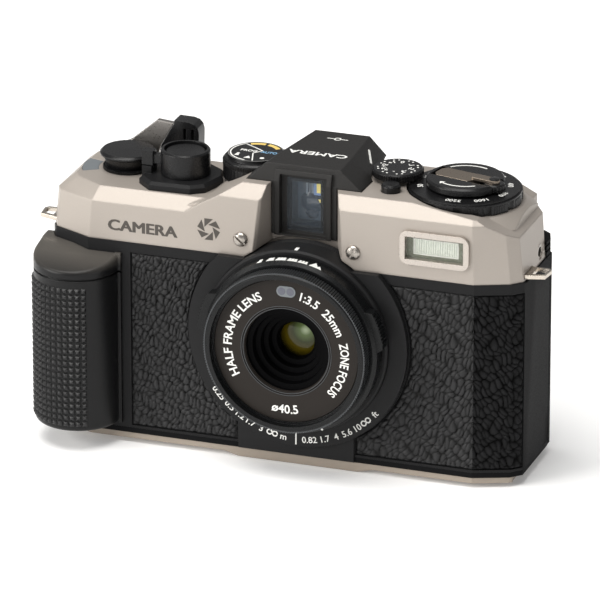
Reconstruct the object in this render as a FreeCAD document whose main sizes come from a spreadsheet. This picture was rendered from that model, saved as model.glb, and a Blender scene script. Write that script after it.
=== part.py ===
"""Compact half-frame film camera, modelled as separate pieces.

Millimetres. +Z is up, the lens looks along -Y, +X is to the right of someone
who faces the lens. The origin is the mouth of the tripod socket, straight
below the lens axis, so the base stands on Z = 0.
"""
import FreeCAD
import Part
import math
import os
import Sketcher

from FreeCAD import Placement, Rotation, Vector

doc = FreeCAD.newDocument("half_frame_camera")
sheet = doc.addObject("Spreadsheet::Sheet", "dims")

# --------------------------------------------------------------------------
# Driving dimensions
# --------------------------------------------------------------------------
DRIVING = {
    # case
    "front_y": -15.0,          # front plane of the case
    "back_y": 18.0,            # back plane of the door
    "case_left": -69.2,        # left end of the black case
    "case_right": 58.0,        # right end of the case
    "crease_left": -57.15,     # where the front turns into the left facet
    "crease_right": 46.5,      # and into the right facet
    "foot_top": 2.6,           # seam between bottom cover and case
    "foot_side": 1.0,          # underside of the bottom cover's ends
    "cover_seam": 55.1,        # seam between case and top cover
    "wall": 1.4,               # case wall
    "skin": 0.55,              # covering material
    "skin_low": 4.7,
    "skin_high": 52.3,
    # top cover
    "face_low": 65.2,          # top of the front face, low deck
    "deck_low": 68.3,
    "face_high": 70.7,         # top of the front face, high deck
    "deck_high": 73.9,
    "deck_end": 71.9,          # deck height at the right crease
    "cover_wall": 1.2,
    # finder
    "finder_front": -8.9,
    "finder_top": 78.5,
    "finder_back": 19.0,
    "window_left": -5.8,
    "window_right": 3.9,
    "window_low": 61.0,
    "window_high": 75.2,
    # lens
    "lens_axis_z": 35.0,
    "disc_radius": 29.4,
    "disc_front": -16.6,
    "collar_radius": 24.6,
    "collar_front": -18.2,
    "ring_radius": 23.3,
    "ring_front": -22.9,
    "barrel_radius": 21.4,
    "barrel_front": -27.1,
    "thread_radius": 19.9,
    "name_front": -25.0,
    "name_inner": 12.1,
    "tail_radius": 20.4,
    "barrel_back": -10.6,
    "pupil_radius": 5.6,
    # film path
    "film_y": 11.0,
    "gate_wide": 17.0,
    "gate_high": 24.0,
    "chamber_radius": 12.9,
    "spool_x": -35.5,
    "spool_y": 0.5,
    "spool_radius": 7.0,
    "sprocket_x": -19.0,
    "sprocket_y": 4.9,
    # controls on the deck
    "lever_x": -52.8,
    "lever_y": 3.3,
    "release_x": -35.5,
    "release_y": -1.1,
    "release_radius": 6.4,
    "release_top": 77.1,
    "mode_x": -18.6,
    "mode_y": 5.0,
    "mode_radius": 8.4,
    "mode_top": 76.0,
    "bias_x": 20.0,
    "bias_y": 3.8,
    "bias_radius": 6.45,
    "bias_top": 77.0,
    "speed_x": 38.2,
    "speed_y": 3.2,
    "speed_radius": 14.5,
    "speed_top": 74.5,
    "speed_low": 71.3,
    "lock_x": 21.2,
    "lock_y": -5.3,
    "lock_radius": 2.5,
    "knob_radius": 10.0,
    "knob_top": 77.0,
    # flash
    "flash_x": 36.1,
    "flash_z": 63.3,
    "flash_wide": 18.4,
    "flash_high": 9.0,
    # grip
    "grip_x": -60.0,
    "grip_y": -15.2,
    "grip_radius": 11.3,
    "grip_low": 5.4,
    "grip_high": 52.2,
    # door
    "hinge_x": -66.9,
    "hinge_y": 15.6,
    "door_front": 12.4,
}

for row, (alias, number) in enumerate(DRIVING.items(), start=1):
    sheet.set(f"A{row}", alias)
    sheet.set(f"B{row}", str(number))
    sheet.setAlias(f"B{row}", alias)
doc.recompute()


class Dim:
    """A length that carries its value and the spreadsheet formula behind it."""

    def __init__(self, number, text):
        self.number = float(number)
        self.text = text

    @staticmethod
    def of(other):
        return other if isinstance(other, Dim) else Dim(other, repr(float(other)))

    def _with(self, other, sign, number):
        return Dim(number, f"({self.text} {sign} {Dim.of(other).text})")

    def __add__(self, other):
        return self._with(other, "+", self.number + Dim.of(other).number)

    def __sub__(self, other):
        return self._with(other, "-", self.number - Dim.of(other).number)

    def __mul__(self, other):
        return self._with(other, "*", self.number * Dim.of(other).number)

    def __truediv__(self, other):
        return self._with(other, "/", self.number / Dim.of(other).number)

    def __radd__(self, other):
        return Dim.of(other) + self

    def __rsub__(self, other):
        return Dim.of(other) - self

    def __rmul__(self, other):
        return Dim.of(other) * self

    def __neg__(self):
        return Dim(-self.number, f"(-1 * {self.text})")

    def __float__(self):
        return self.number


def d(alias):
    """The driving dimension with this alias."""
    return Dim(sheet.get(alias), f"dims.{alias}")


def bind(obj, prop, value):
    """Set a property, by formula where the value comes from the sheet."""
    if isinstance(value, Dim):
        obj.setExpression(prop, value.text)
    elif "." in prop:
        obj.setExpression(prop, repr(float(value)))
    else:
        setattr(obj, prop, float(value))


# Rotations that stand a piece's own +Z along a named direction.
AXES = {
    "+z": Rotation(),
    "-z": Rotation(Vector(1, 0, 0), 180),
    "-y": Rotation(Vector(1, 0, 0), 90),
    "+y": Rotation(Vector(1, 0, 0), -90),
    "+x": Rotation(Vector(0, 1, 0), 90),
    "-x": Rotation(Vector(0, 1, 0), -90),
}
pieces = {}


def place(obj, at, axis="+z"):
    obj.Placement = Placement(Vector(*[float(c) for c in at]), AXES[axis])
    for name, value in zip("xyz", at):
        if isinstance(value, Dim):
            obj.setExpression(f"Placement.Base.{name}", value.text)
    return obj


def keep(name, obj):
    """Register the finished object of one sub-part."""
    obj.Label = name
    pieces[name] = obj
    return obj


# --------------------------------------------------------------------------
# Building blocks
# --------------------------------------------------------------------------
def box(x, y, z):
    """Part::Box between pairs of coordinates."""
    obj = doc.addObject("Part::Box", "box")
    for prop, (low, high) in zip(("Length", "Width", "Height"), (x, y, z)):
        bind(obj, prop, Dim.of(high) - low)
    return place(obj, (x[0], y[0], z[0]))


def rod(radius, length, at, axis="+z"):
    """Part::Cylinder from a point along a direction."""
    obj = doc.addObject("Part::Cylinder", "rod")
    bind(obj, "Radius", radius)
    bind(obj, "Height", length)
    return place(obj, at, axis)


def cut(base, *tools):
    obj = doc.addObject("Part::Cut", "cut")
    obj.Base = base
    obj.Tool = tools[0] if len(tools) == 1 else fuse(*tools)
    return obj


def fuse(*parts):
    obj = doc.addObject("Part::MultiFuse", "fuse")
    obj.Shapes = list(parts)
    return obj


def group(*parts):
    """Separate solids kept in one node."""
    obj = doc.addObject("Part::Compound", "group")
    obj.Links = list(parts)
    return obj


def common(base, tool):
    obj = doc.addObject("Part::MultiCommon", "common")
    obj.Shapes = [base, tool]
    return obj


def outline(body, role, points):
    """A closed, fully placed polygon sketch on one of the body's planes."""
    sketch = body.newObject("Sketcher::SketchObject", "outline")
    plane = next(f for f in body.Origin.OriginFeatures if f.Role == role)
    sketch.AttachmentSupport = [(plane, "")]
    sketch.MapMode = "FlatFace"
    count = len(points)
    corners = [Vector(float(a), float(b), 0) for a, b in points]
    for i in range(count):
        sketch.addGeometry(Part.LineSegment(corners[i], corners[(i + 1) % count]), False)
    for i in range(count):
        sketch.addConstraint(Sketcher.Constraint("Coincident", i, 2, (i + 1) % count, 1))
    for i, point in enumerate(points):
        for kind, axis_id, value in (("DistanceX", -2, point[0]), ("DistanceY", -1, point[1])):
            if abs(float(value)) < 1e-9:
                sketch.addConstraint(Sketcher.Constraint("PointOnObject", i, 1, axis_id))
                continue
            row_id = sketch.addConstraint(
                Sketcher.Constraint(kind, -1, 1, i, 1, float(value)))
            if isinstance(value, Dim):
                sketch.setExpression(f"Constraints[{row_id}]", value.text)
    return sketch


def turned(profile, at, axis="+z"):
    """A lathe part: (radius, height) points revolved about the piece's own axis."""
    body = doc.addObject("PartDesign::Body", "turned")
    sketch = outline(body, "XZ_Plane", profile)
    spin = body.newObject("PartDesign::Revolution", "spin")
    spin.Profile = sketch
    spin.ReferenceAxis = (sketch, ["V_Axis"])
    spin.Angle = 360
    body.Tip = spin
    return place(body, at, axis)


def plate(points, thickness, at, axis="+z"):
    """A flat part: an outline in the piece's own XY plane, padded upwards."""
    body = doc.addObject("PartDesign::Body", "plate")
    sketch = outline(body, "XY_Plane", points)
    pad = body.newObject("PartDesign::Pad", "pad")
    pad.Profile = sketch
    bind(pad, "Length", thickness)
    body.Tip = pad
    return place(body, at, axis)


def shaped(shape):
    """A piece whose form no sketch or primitive gives."""
    obj = doc.addObject("Part::Feature", "shaped")
    obj.Shape = shape
    return obj


def prism(points, low, high, along="z"):
    """Solid between two coordinates, from an outline across that direction."""
    lift = {
        "z": lambda a, b: Vector(a, b, low),
        "y": lambda a, b: Vector(a, low, b),
        "x": lambda a, b: Vector(low, a, b),
    }[along]
    step = {"z": Vector(0, 0, 1), "y": Vector(0, 1, 0), "x": Vector(1, 0, 0)}[along]
    ring = [lift(float(a), float(b)) for a, b in points]
    face = Part.Face(Part.makePolygon(ring + ring[:1]))
    return face.extrude(step * (high - low))


def taper(low_points, low, high_points, high):
    """Solid between two outlines at two heights."""
    rings = []
    for points, height in ((low_points, low), (high_points, high)):
        ring = [Vector(float(a), float(b), height) for a, b in points]
        rings.append(Part.makePolygon(ring + ring[:1]))
    return Part.makeLoft(rings, True, True)


def block(x, y, z):
    """Plain box shape between pairs of coordinates."""
    low = Vector(float(x[0]), float(y[0]), float(z[0]))
    size = [float(b) - float(a) for a, b in (x, y, z)]
    return Part.makeBox(*size, low)


def drum(radius, low, high, x, y, axis="z"):
    """Plain cylinder shape, standing along z, y or x."""
    direction = {"z": Vector(0, 0, 1), "y": Vector(0, 1, 0), "x": Vector(1, 0, 0)}[axis]
    start = {"z": (x, y, low), "y": (x, low, y), "x": (low, x, y)}[axis]
    return Part.makeCylinder(float(radius), high - low, Vector(*start), direction)


def arc_points(x, y, radius, start, stop, steps):
    """Points on an arc, angles in degrees."""
    turn = [math.radians(start + (stop - start) * i / steps) for i in range(steps + 1)]
    return [(x + radius * math.cos(t), y + radius * math.sin(t)) for t in turn]


# --------------------------------------------------------------------------
# Case
# --------------------------------------------------------------------------
def case_outline(inset=0.0, lean=0.0):
    """Plan of the case; lean draws the ends and facets in, as the cover does."""
    front = float(d("front_y")) + inset
    left = float(d("case_left")) + inset + lean
    right = float(d("case_right")) - inset - lean
    back = float(d("back_y")) - inset
    bend_left = float(d("crease_left")) + 0.25 * inset + 0.8 * lean
    bend_right = float(d("crease_right")) - 0.25 * inset - 0.3 * lean
    return [
        (bend_left, front), (bend_right, front),
        (right - 2.6, front + 3.5), (right, front + 6.2),
        (right, back - 4.0), (right - 3.5, back),
        (left + 3.0, back), (left, back - 3.0),
        (left, front + 7.5), (left + 1.4, front + 5.0),
    ]


LENS = (0.0, float(d("lens_axis_z")))
FRONT = float(d("front_y"))
DECK = float(d("deck_high"))
SEAM = float(d("cover_seam"))
FOOT = float(d("foot_top"))


def cover_mass(inset, floor):
    """Outer form of the top cover, or its hollow when inset by the wall."""
    face_low, deck_low = float(d("face_low")) - inset, float(d("deck_low")) - inset
    face_high, deck_high = float(d("face_high")) - inset, DECK - inset
    end_height = float(d("deck_end")) - inset
    skirt = taper(case_outline(inset, 0.4), floor, case_outline(inset, 1.4), face_low)
    bevel = 3.4
    low_deck = taper(case_outline(inset, 1.4), face_low,
                     case_outline(inset + bevel, 1.6), deck_low)
    tall = taper(case_outline(inset, 1.4), face_low, case_outline(inset, 2.0), face_high)
    tall_top = taper(case_outline(inset, 2.0), face_high,
                     case_outline(inset + bevel, 2.1), deck_high)
    crease = float(d("crease_right"))
    right_slope = [(29.0, deck_high), (crease, end_height), (62.0, end_height - 7.9)]
    sky = 90.0
    shoulder = prism(
        [(-80.0, face_low), (-31.0, face_low), (-26.3, deck_low), (-16.4, deck_high)]
        + right_slope + [(62.0, sky), (-80.0, sky)], -25.0, 25.0, "y")
    beyond = prism(right_slope + [(62.0, sky), (29.0, sky)], -25.0, 25.0, "y")
    return skirt.fuse(low_deck).fuse(tall.fuse(tall_top).cut(shoulder)).cut(beyond).removeSplitter()


def bevel_run_out():
    """Ruled solid in which the low deck's front bevel dies out to the right."""
    face_low, deck_low = float(d("face_low")), float(d("deck_low"))
    edge_y = FRONT + 3.4
    rings = []
    for x, rise in ((-40.8, 0.04), (-36.0, 0.3), (-31.0, 1.2), (-28.2, 2.2), (-26.3, 3.1)):
        section = [(FRONT + 1.42, face_low - 0.2), (FRONT + 1.42, face_low + rise),
                   (edge_y + 1.4, deck_low), (edge_y + 1.4, face_low - 0.2)]
        ring = [Vector(x, y, z) for y, z in section]
        rings.append(Part.makePolygon(ring + ring[:1]))
    return Part.makeLoft(rings, True, True)


def dial_boss():
    """Flared foot under the part of the film-speed ring that overhangs the slope."""
    x, y = float(d("speed_x")), float(d("speed_y"))
    top = float(d("speed_low")) - 0.2
    flare = Part.makeCone(19.2, 15.3, 3.0, Vector(x, y, top - 3.0))
    foot = drum(19.2, top - 8.0, top - 3.0, x, y)
    inside = prism(case_outline(1.9, 1.4), top - 8.0, top)
    return flare.fuse(foot).common(block((x + 4.0, 62.0), (-14.0, 20.0), (60.0, 72.0))).common(inside)


def finder_slot():
    """Way through the cover for the finder: a flared mouth and a straight shaft."""
    low = [(-13.0, FRONT - 0.2), (11.75, FRONT - 0.2), (11.0, FRONT + 0.75), (8.0, -8.3),
           (-9.6, -8.3), (-12.25, FRONT + 0.75)]
    high = [(-10.55, FRONT - 0.2), (10.9, FRONT - 0.2), (10.15, FRONT + 0.75), (8.0, -8.3),
            (-9.6, -8.3), (-9.8, FRONT + 0.75)]
    return taper(low, SEAM - 1.0, high, DECK + 1.0).fuse(
        block((-9.6, 8.0), (-8.6, 20.0), (59.9, DECK + 1.0)))


def counter_sector(radius_in, radius_out, low, high):
    x, y = float(d("lever_x")), float(d("lever_y"))
    points = arc_points(x, y, radius_out, 166, 212, 8) + arc_points(x, y, radius_in, 212, 166, 6)
    return prism(points, low, high)


def make_top_cover():
    wall = float(d("cover_wall"))
    speed = float(d("speed_x")), float(d("speed_y"))
    mode = float(d("mode_x")), float(d("mode_y"))
    shape = cover_mass(0.0, SEAM).fuse([bevel_run_out(), dial_boss()])
    hollow = cover_mass(wall, SEAM - 1.0).cut(prism(TAB_WALL, SEAM - 2.0, DECK + 1.0))
    hollow = hollow.cut(block((-14.6, 12.7), (-16.0, -6.6), (SEAM - 2.0, 80.0)))
    hollow = hollow.cut(block((-14.6, 12.7), (-6.7, 20.0), (58.7, 80.0)))
    speed_floor = float(d("speed_low")) - 0.2
    hollow = hollow.cut(drum(16.4, speed_floor - wall, 80.0, *speed))
    hollow = hollow.cut(drum(10.3, 68.2, 80.0, *mode))
    shape = shape.cut(hollow).cut(finder_slot())
    shape = shape.cut(drum(25.0, FRONT - 1.0, -7.9, *LENS, "y"))
    flash_x, flash_z = float(d("flash_x")), float(d("flash_z"))
    half_wide, half_high = float(d("flash_wide")) / 2 - 0.8, float(d("flash_high")) / 2 - 0.8
    shape = shape.cut(block((flash_x - half_wide, flash_x + half_wide), (-16.0, -12.5),
                            (flash_z - half_high, flash_z + half_high)))
    for x, z in SCREWS:
        shape = shape.cut(drum(1.0, -16.0, -12.0, x, z, "y"))
    shape = shape.cut(drum(3.05, 60.0, 80.0, float(d("lever_x")), float(d("lever_y"))))
    shape = shape.cut(drum(2.2, 60.0, 80.0, float(d("release_x")), float(d("release_y"))))
    shape = shape.cut(drum(8.9, 69.5, 80.0, *mode)).cut(drum(2.1, 60.0, 80.0, *mode))
    shape = shape.cut(drum(2.1, 60.0, 80.0, float(d("bias_x")), float(d("bias_y"))))
    shape = shape.cut(drum(2.58, 60.0, 80.0, float(d("lock_x")), float(d("lock_y"))))
    shape = shape.cut(drum(14.9, speed_floor, 80.0, *speed)).cut(drum(4.3, 60.0, 80.0, *speed))
    scoop = Part.makeCone(14.9, 19.0, 3.0, Vector(speed[0], speed[1], speed_floor))
    shape = shape.cut(scoop.common(block((speed[0] + 4.0, 62.0), (-10.4, 14.0), (60.0, 80.0))))
    shape = shape.cut(counter_sector(7.6, 11.9, 60.0, 80.0))
    socket_y, socket_z = SOCKET
    shape = shape.cut(drum(2.0, 52.0, 62.0, socket_y, socket_z, "x"))
    shape = shape.cut(prism(TAB_CORNER, SEAM - 1.0, DECK + 1.0))
    for low, high in ((-72.0, -64.0), (54.0, 62.0)):
        shape = shape.cut(block((low, high), (-8.1, -0.5), (55.4, 56.6)))
    return shape.removeSplitter()


SCREWS = ((-15.74, 59.68), (14.42, 59.88))
SOCKET = (5.9, 57.9)
# Plan of the corner the door's thumb tab fills, of the wall behind it, and of the tab.
TAB_CORNER = [(59.5, 7.6), (52.6, 14.4), (52.6, 20.0), (62.0, 20.0), (62.0, 7.6)]
TAB_WALL = [(59.5, 5.9), (51.4, 13.9), (51.4, 20.0), (62.0, 20.0), (62.0, 5.9)]
TAB_PLAN = [(57.9, 9.5), (57.9, 13.0), (56.8, 16.2), (54.8, 17.8), (52.8, 17.8), (52.8, 14.6)]

HUMP_BASE = [(-16.4, -8.9), (14.6, -8.9), (14.8, 1.0), (11.8, 19.0), (-12.5, 19.0), (-16.6, 1.0)]
HUMP_TOP = [(-11.3, -7.5), (8.5, -7.5), (8.3, 1.0), (7.3, 19.0), (-7.3, 19.0), (-10.3, 1.0)]


def make_finder_housing():
    back = float(d("finder_back"))
    front = float(d("finder_front"))
    hump = taper(HUMP_BASE, DECK, HUMP_TOP, float(d("finder_top")))
    hump = hump.fuse(block((-9.55, 7.95), (front, back), (60.0, DECK + 0.5)))
    left, right = float(d("window_left")), float(d("window_right"))
    low, high = float(d("window_low")), float(d("window_high"))
    frame = [(front - 0.7, low - 1.0), (front - 0.7, high - 0.7), (front + 0.3, high + 2.2),
             (front + 0.9, high + 2.2), (front + 0.9, low - 1.0)]
    hump = hump.fuse(prism(frame, left - 2.8, right + 2.7, "x"))
    hump = hump.cut(block((left - 1.4, right + 1.4), (-12.0, front + 1.3), (low - 0.7, high + 1.0)))
    hump = hump.cut(block((left, right), (-12.0, front + 2.2), (low, high)))
    hump = hump.cut(block((left + 1.0, right - 1.0), (-12.0, back + 1.0), (low + 1.2, high - 1.2)))
    hump = hump.cut(drum(float(d("mode_radius")) + 0.35, 69.0, 80.0,
                         float(d("mode_x")), float(d("mode_y"))))
    hump = hump.cut(drum(float(d("bias_radius")) + 0.35, DECK, 80.0,
                         float(d("bias_x")), float(d("bias_y"))))
    return hump.removeSplitter()


def skin_shape(gap=0.0):
    """Covering panels of the front: right of the lens disc and left of it."""
    low, high = float(d("skin_low")), float(d("skin_high"))
    shell = prism(case_outline(), low, high).cut(prism(case_outline(float(d("skin"))), low, high))
    disc = drum(float(d("disc_radius")) + 0.3 + gap, -20.0, -10.0, *LENS, "y")
    right = shell.common(block((5.0, 62.0), (-20.0, -8.7), (low, high)))
    right = right.cut(disc).cut(block((0.0, 15.2), (-20.0, -10.0), (0.0, 35.0)))
    left = shell.common(block((-45.6, -5.0), (-20.0, -13.0), (low, high)))
    left = left.cut(disc).cut(block((-16.6, 0.0), (-20.0, -10.0), (0.0, 35.0)))
    return left, right


def make_body():
    """Front wall with its facets, then the floor plate and the side walls with their knuckles."""
    rim = float(d("door_front")) - 0.2
    wall = float(d("wall")) + float(d("skin"))
    shape = prism(case_outline(), FOOT, SEAM)
    shape = shape.cut(prism(case_outline(wall), FLOOR_TOP, SEAM + 1.0))
    shape = shape.cut(block((-75.0, 65.0), (rim, 25.0), (0.0, 60.0)))
    for skin in skin_shape():
        shape = shape.cut(skin)
    shape = shape.cut(drum(24.75, -18.0, -10.0, *LENS, "y"))
    shape = shape.cut(block((-68.3, -51.7), (-18.0, -9.0), (9.0, 47.0)))
    shape = shape.cut(drum(8.5, 9.0, 47.0, float(d("grip_x")), TRAY_Y))
    hinge = float(d("hinge_x")), float(d("hinge_y"))
    for low, high in ((FOOT + 0.6, 13.7), (44.3, 53.9)):
        shape = shape.fuse(drum(2.0, low, high, *hinge))
        shape = shape.fuse(block((-68.6, -67.0), (rim - 1.5, 15.6), (low, high)))
    shape = shape.cut(drum(0.82, 0.0, 60.0, *hinge))
    shape = shape.cut(drum(5.55, 0.0, 6.0, 0.0, 0.0))
    shape = shape.cut(drum(2.1, 0.0, 6.0, *RELEASE_BUTTON))
    for x, y in FOOT_SCREWS:
        shape = shape.cut(drum(0.8, 0.0, 6.0, x, y))
    for low, high in ((-70.0, -62.0), (54.0, 60.0)):
        shape = shape.cut(block((low, high), (-8.1, -0.5), (54.6, 56.0)))
    face = block((-75.0, 0.0), (-20.0, -7.0), (FLOOR_TOP, 60.0)).fuse(
        block((0.0, 65.0), (-20.0, FRONT + 6.2), (FLOOR_TOP, 60.0)))
    shell = shape.cut(face).removeSplitter()
    level = block((-75.0, 65.0), (-20.0, 25.0), (0.0, FLOOR_TOP))
    floor = [shell.common(level)] + shell.cut(level).Solids
    return shape.common(face).removeSplitter(), Part.makeCompound(floor)


FLOOR_TOP = FOOT + 1.4
RELEASE_BUTTON = (-19.0, 4.9)
TRAY_Y = -15.7
FOOT_SCREWS = ((-44.0, -9.5), (44.0, -9.0), (-44.0, 10.5), (44.0, 10.5))


def make_chassis():
    speed = float(d("speed_x")), float(d("speed_y"))
    spool = float(d("spool_x")), float(d("spool_y"))
    sprocket = float(d("sprocket_x")), float(d("sprocket_y"))
    film = float(d("film_y"))
    shape = block((-47.5, 52.2), (-12.9, 12.0), (4.2, 52.6))
    shape = shape.common(prism(case_outline(2.1), 4.0, 54.0))
    inside = (7.5, 50.6)
    radius = float(d("chamber_radius"))
    for (x, y), r in ((speed, radius), (spool, 10.6), (sprocket, 7.7)):
        shape = shape.cut(drum(r, *inside, x, y))
        shape = shape.cut(block((x - r, x + r), (y, 14.0), inside))
    shape = shape.cut(drum(22.9, -14.0, -6.5, *LENS, "y")).cut(drum(24.85, -14.0, -8.4, *LENS, "y"))
    half_wide, half_high = float(d("gate_wide")) / 2, float(d("gate_high")) / 2
    shape = shape.cut(block((-half_wide, half_wide), (-8.0, 14.0),
                            (LENS[1] - half_high, LENS[1] + half_high)))
    shape = shape.cut(block((-13.5, 25.0), (film - 0.1, 14.0), (4.0, 53.0)))
    for (x, y), r in ((speed, 2.7), (spool, 2.1), (sprocket, 1.6)):
        shape = shape.cut(drum(r, 4.0, 54.0, x, y))
    shape = shape.cut(drum(5.6, 4.0, 6.6, 0.0, 0.0)).cut(drum(2.2, 4.0, 8.0, *RELEASE_BUTTON))
    return shape.removeSplitter()


def make_bottom_cover():
    side = float(d("foot_side"))
    shape = prism(case_outline(0.25), side, FOOT)
    bulge = [(-20.4, side), (-16.6, 0.0), (15.7, 0.0), (19.8, side)]
    shape = shape.fuse(prism(bulge, FRONT + 0.25, 16.0, "y"))
    shape = shape.cut(drum(5.5, -1.0, 6.0, 0.0, 0.0)).cut(drum(2.0, -1.0, 6.0, *RELEASE_BUTTON))
    for x, y in FOOT_SCREWS:
        shape = shape.cut(drum(0.8, 0.0, 6.0, x, y)).cut(drum(1.6, 0.0, side + 0.6, x, y))
    shape = shape.cut(block((55.6, 62.0), (-10.5, 20.0), (0.0, FOOT)))
    return shape.removeSplitter()


keep("top_cover", shaped(make_top_cover()))
keep("finder_housing", shaped(make_finder_housing()))
front_wall, floor_and_sides = make_body()
keep("front_body", shaped(front_wall))
keep("body_floor", shaped(floor_and_sides))
keep("chassis", shaped(make_chassis()))
keep("bottom_cover", shaped(make_bottom_cover()))
keep("front_leather", shaped(Part.makeCompound(list(skin_shape(0.04)))))

# --------------------------------------------------------------------------
# Finder glass
# --------------------------------------------------------------------------
keep("finder_window", box(
    (d("window_left"), d("window_right")), (d("finder_front") + 1.3, d("finder_front") + 2.2),
    (d("window_low"), d("window_high"))))

EYE_X, EYE_Z = (d("window_left") + d("window_right")) / 2, 68.1
eye_frame = cut(
    box((EYE_X - 7.4, EYE_X + 7.4), (d("finder_back"), d("finder_back") + 3.8),
        (EYE_Z - 6.4, EYE_Z + 6.4)),
    box((EYE_X - 3.6, EYE_X + 3.6), (d("finder_back") - 1, d("finder_back") + 5),
        (EYE_Z - 3.4, EYE_Z + 3.4)))
keep("eyepiece_frame", eye_frame)
keep("eyepiece_lens", box(
    (EYE_X - 3.6, EYE_X + 3.6), (d("finder_back") + 0.4, d("finder_back") + 2.0),
    (EYE_Z - 3.4, EYE_Z + 3.4)))


# --------------------------------------------------------------------------
# Lens: heights along the axis are measured forwards from a given y
# --------------------------------------------------------------------------
AXIS_Z = d("lens_axis_z")


def on_axis(y):
    return (0.0, y, AXIS_Z)


collar_long = d("finder_front") - 0.2 - d("collar_front")
collar_inner = d("collar_radius") - 1.72
collar_profile = [(collar_inner, 0.0), (d("collar_radius") - 0.3, 0.0)]
for i in range(4):
    groove = 0.25 + 0.6 * i
    collar_profile += [(d("collar_radius"), groove), (d("collar_radius"), groove + 0.25),
                       (d("collar_radius") - 0.3, groove + 0.35), (d("collar_radius") - 0.3, groove + 0.5)]
collar_profile += [(d("collar_radius"), 2.7), (d("collar_radius"), collar_long - 0.5),
                   (d("collar_radius") - 0.5, collar_long), (collar_inner, collar_long)]
keep("lens_collar", turned(collar_profile, on_axis(d("finder_front") - 0.2), "-y"))

disc_ring = cut(
    rod(d("disc_radius"), d("front_y") - d("disc_front"), on_axis(d("front_y")), "-y"),
    rod(d("collar_radius") + 0.05, 6.0, on_axis(d("front_y") + 1), "-y"),
    box((-40.0, 40.0), (-20.0, -10.0), (d("cover_seam") - 0.05, 80.0)))
disc_foot = cut(
    box((-16.3, 14.9), (d("front_y") - 0.45, d("front_y")), (d("foot_top") + 0.1, 20.0)),
    rod(d("collar_radius") + 0.05, 6.0, on_axis(d("front_y") + 1), "-y"))
keep("lens_base_disc", fuse(disc_ring, disc_foot))

ring_long = d("collar_front") - 0.2 - d("ring_front")
sleeve_radius = collar_inner - 0.08
ring_bore = d("tail_radius") + 0.08
focus_body = turned([
    (ring_bore, 0.0), (sleeve_radius, 0.0), (sleeve_radius, 6.2), (d("ring_radius"), 6.2),
    (d("ring_radius"), ring_long + 5.4), (d("ring_radius") - 0.9, ring_long + 6.2),
    (ring_bore, ring_long + 6.2),
], on_axis(d("collar_front") + 6.0), "-y")
tabs = []
for start in (6.0, 152.0):
    inner, outer = float(d("ring_radius")) - 0.6, float(d("ring_radius")) + 1.7
    points = (arc_points(0.0, LENS[1], outer, start, start + 22, 6)
              + arc_points(0.0, LENS[1], inner, start + 26, start - 4, 6))
    tabs.append(shaped(prism(points, -22.3, -18.7, "y")))
keep("focus_ring", fuse(focus_body, *tabs))

barrel_long = d("barrel_back") - d("barrel_front")
shoulder_high = d("barrel_back") - d("ring_front") + 0.2
seat_high = d("barrel_back") - d("name_front") - 1.0
keep("lens_barrel", turned([
    (12.6, 0.0), (d("tail_radius"), 0.0), (d("tail_radius"), shoulder_high),
    (d("barrel_radius"), shoulder_high), (d("barrel_radius"), barrel_long - 0.4),
    (d("barrel_radius") - 0.4, barrel_long), (d("thread_radius"), barrel_long),
    (d("thread_radius"), seat_high + 1.0), (19.36, seat_high + 1.0), (19.36, seat_high),
    (12.6, seat_high),
], on_axis(d("barrel_back")), "-y"))

keep("name_ring", turned([
    (11.1, 0.0), (19.3, 0.0), (19.3, 0.9), (19.15, 1.0), (d("name_inner"), 1.0),
    (d("name_inner") - 0.2, 0.8), (11.3, 0.6),
], on_axis(d("name_front") + 1.0), "-y"))

cell_steps = [(6.3, 0.0), (12.55, 0.0), (12.55, 13.3), (11.0, 13.3)]
for i in range(4):
    radius, height = 10.9 - 1.5 * i, 12.6 - 1.9 * i
    cell_steps += [(radius, height), (radius - 1.2, height - 0.2)]
cell_steps += [(4.7, 5.8), (4.7, 4.9), (6.3, 4.9)]
keep("lens_cell", turned(cell_steps, on_axis(d("barrel_back") - 0.1), "-y"))

meter = fuse(
    box((-1.1, 1.1), (d("name_front") - 0.12, d("name_front")), (AXIS_Z + 14.7, AXIS_Z + 17.6)),
    rod(1.45, 0.12, (-1.1, d("name_front"), AXIS_Z + 16.15), "-y"),
    rod(1.45, 0.12, (1.1, d("name_front"), AXIS_Z + 16.15), "-y"))
keep("meter_window", meter)


def glass_disc(radius, thick, curve, at):
    """Biconvex element: a rod between two spheres."""
    x, y, z = at
    blank = rod(radius, thick, at, "-y")
    for centre in (y - thick + curve, y - curve):
        ball = doc.addObject("Part::Sphere", "ball")
        ball.Radius = float(curve)
        blank = common(blank, place(ball, (x, centre, z)))
    return blank


keep("front_element", glass_disc(6.25, 2.6, 15.0, on_axis(d("barrel_back") - 2.3)))
keep("rear_element", glass_disc(6.25, 1.8, 18.0, on_axis(d("barrel_back") - 0.2)))

SHUTTER_Y = -9.3
plate_disc = cut(rod(22.0, 0.6, on_axis(SHUTTER_Y), "-y"),
                 rod(d("pupil_radius") - 0.6, 2.0, on_axis(SHUTTER_Y + 1), "-y"))
pins = [rod(0.6, 0.9, (x, SHUTTER_Y + 0.7, AXIS_Z + 9.0), "-y") for x in (-6.5, 6.5)]
keep("shutter_plate", fuse(plate_disc, *pins))

BLADE = [(-2.0, 1.6), (1.6, 1.6), (7.6, -3.3), (7.6, -14.8), (1.5, -14.0), (-2.2, -7.0)]
for name, side, layer in (("shutter_blade_a", 1, 0.1), ("shutter_blade_b", -1, 0.4)):
    points = [(side * x, -z) for x, z in BLADE]
    leaf = plate(points, 0.15, (-6.5 * side, SHUTTER_Y + layer, AXIS_Z + 9.0), "+y")
    eye = rod(0.66, 1.0, (-6.5 * side, SHUTTER_Y - 0.2, AXIS_Z + 9.0), "+y")
    keep(name, cut(leaf, eye))

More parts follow.
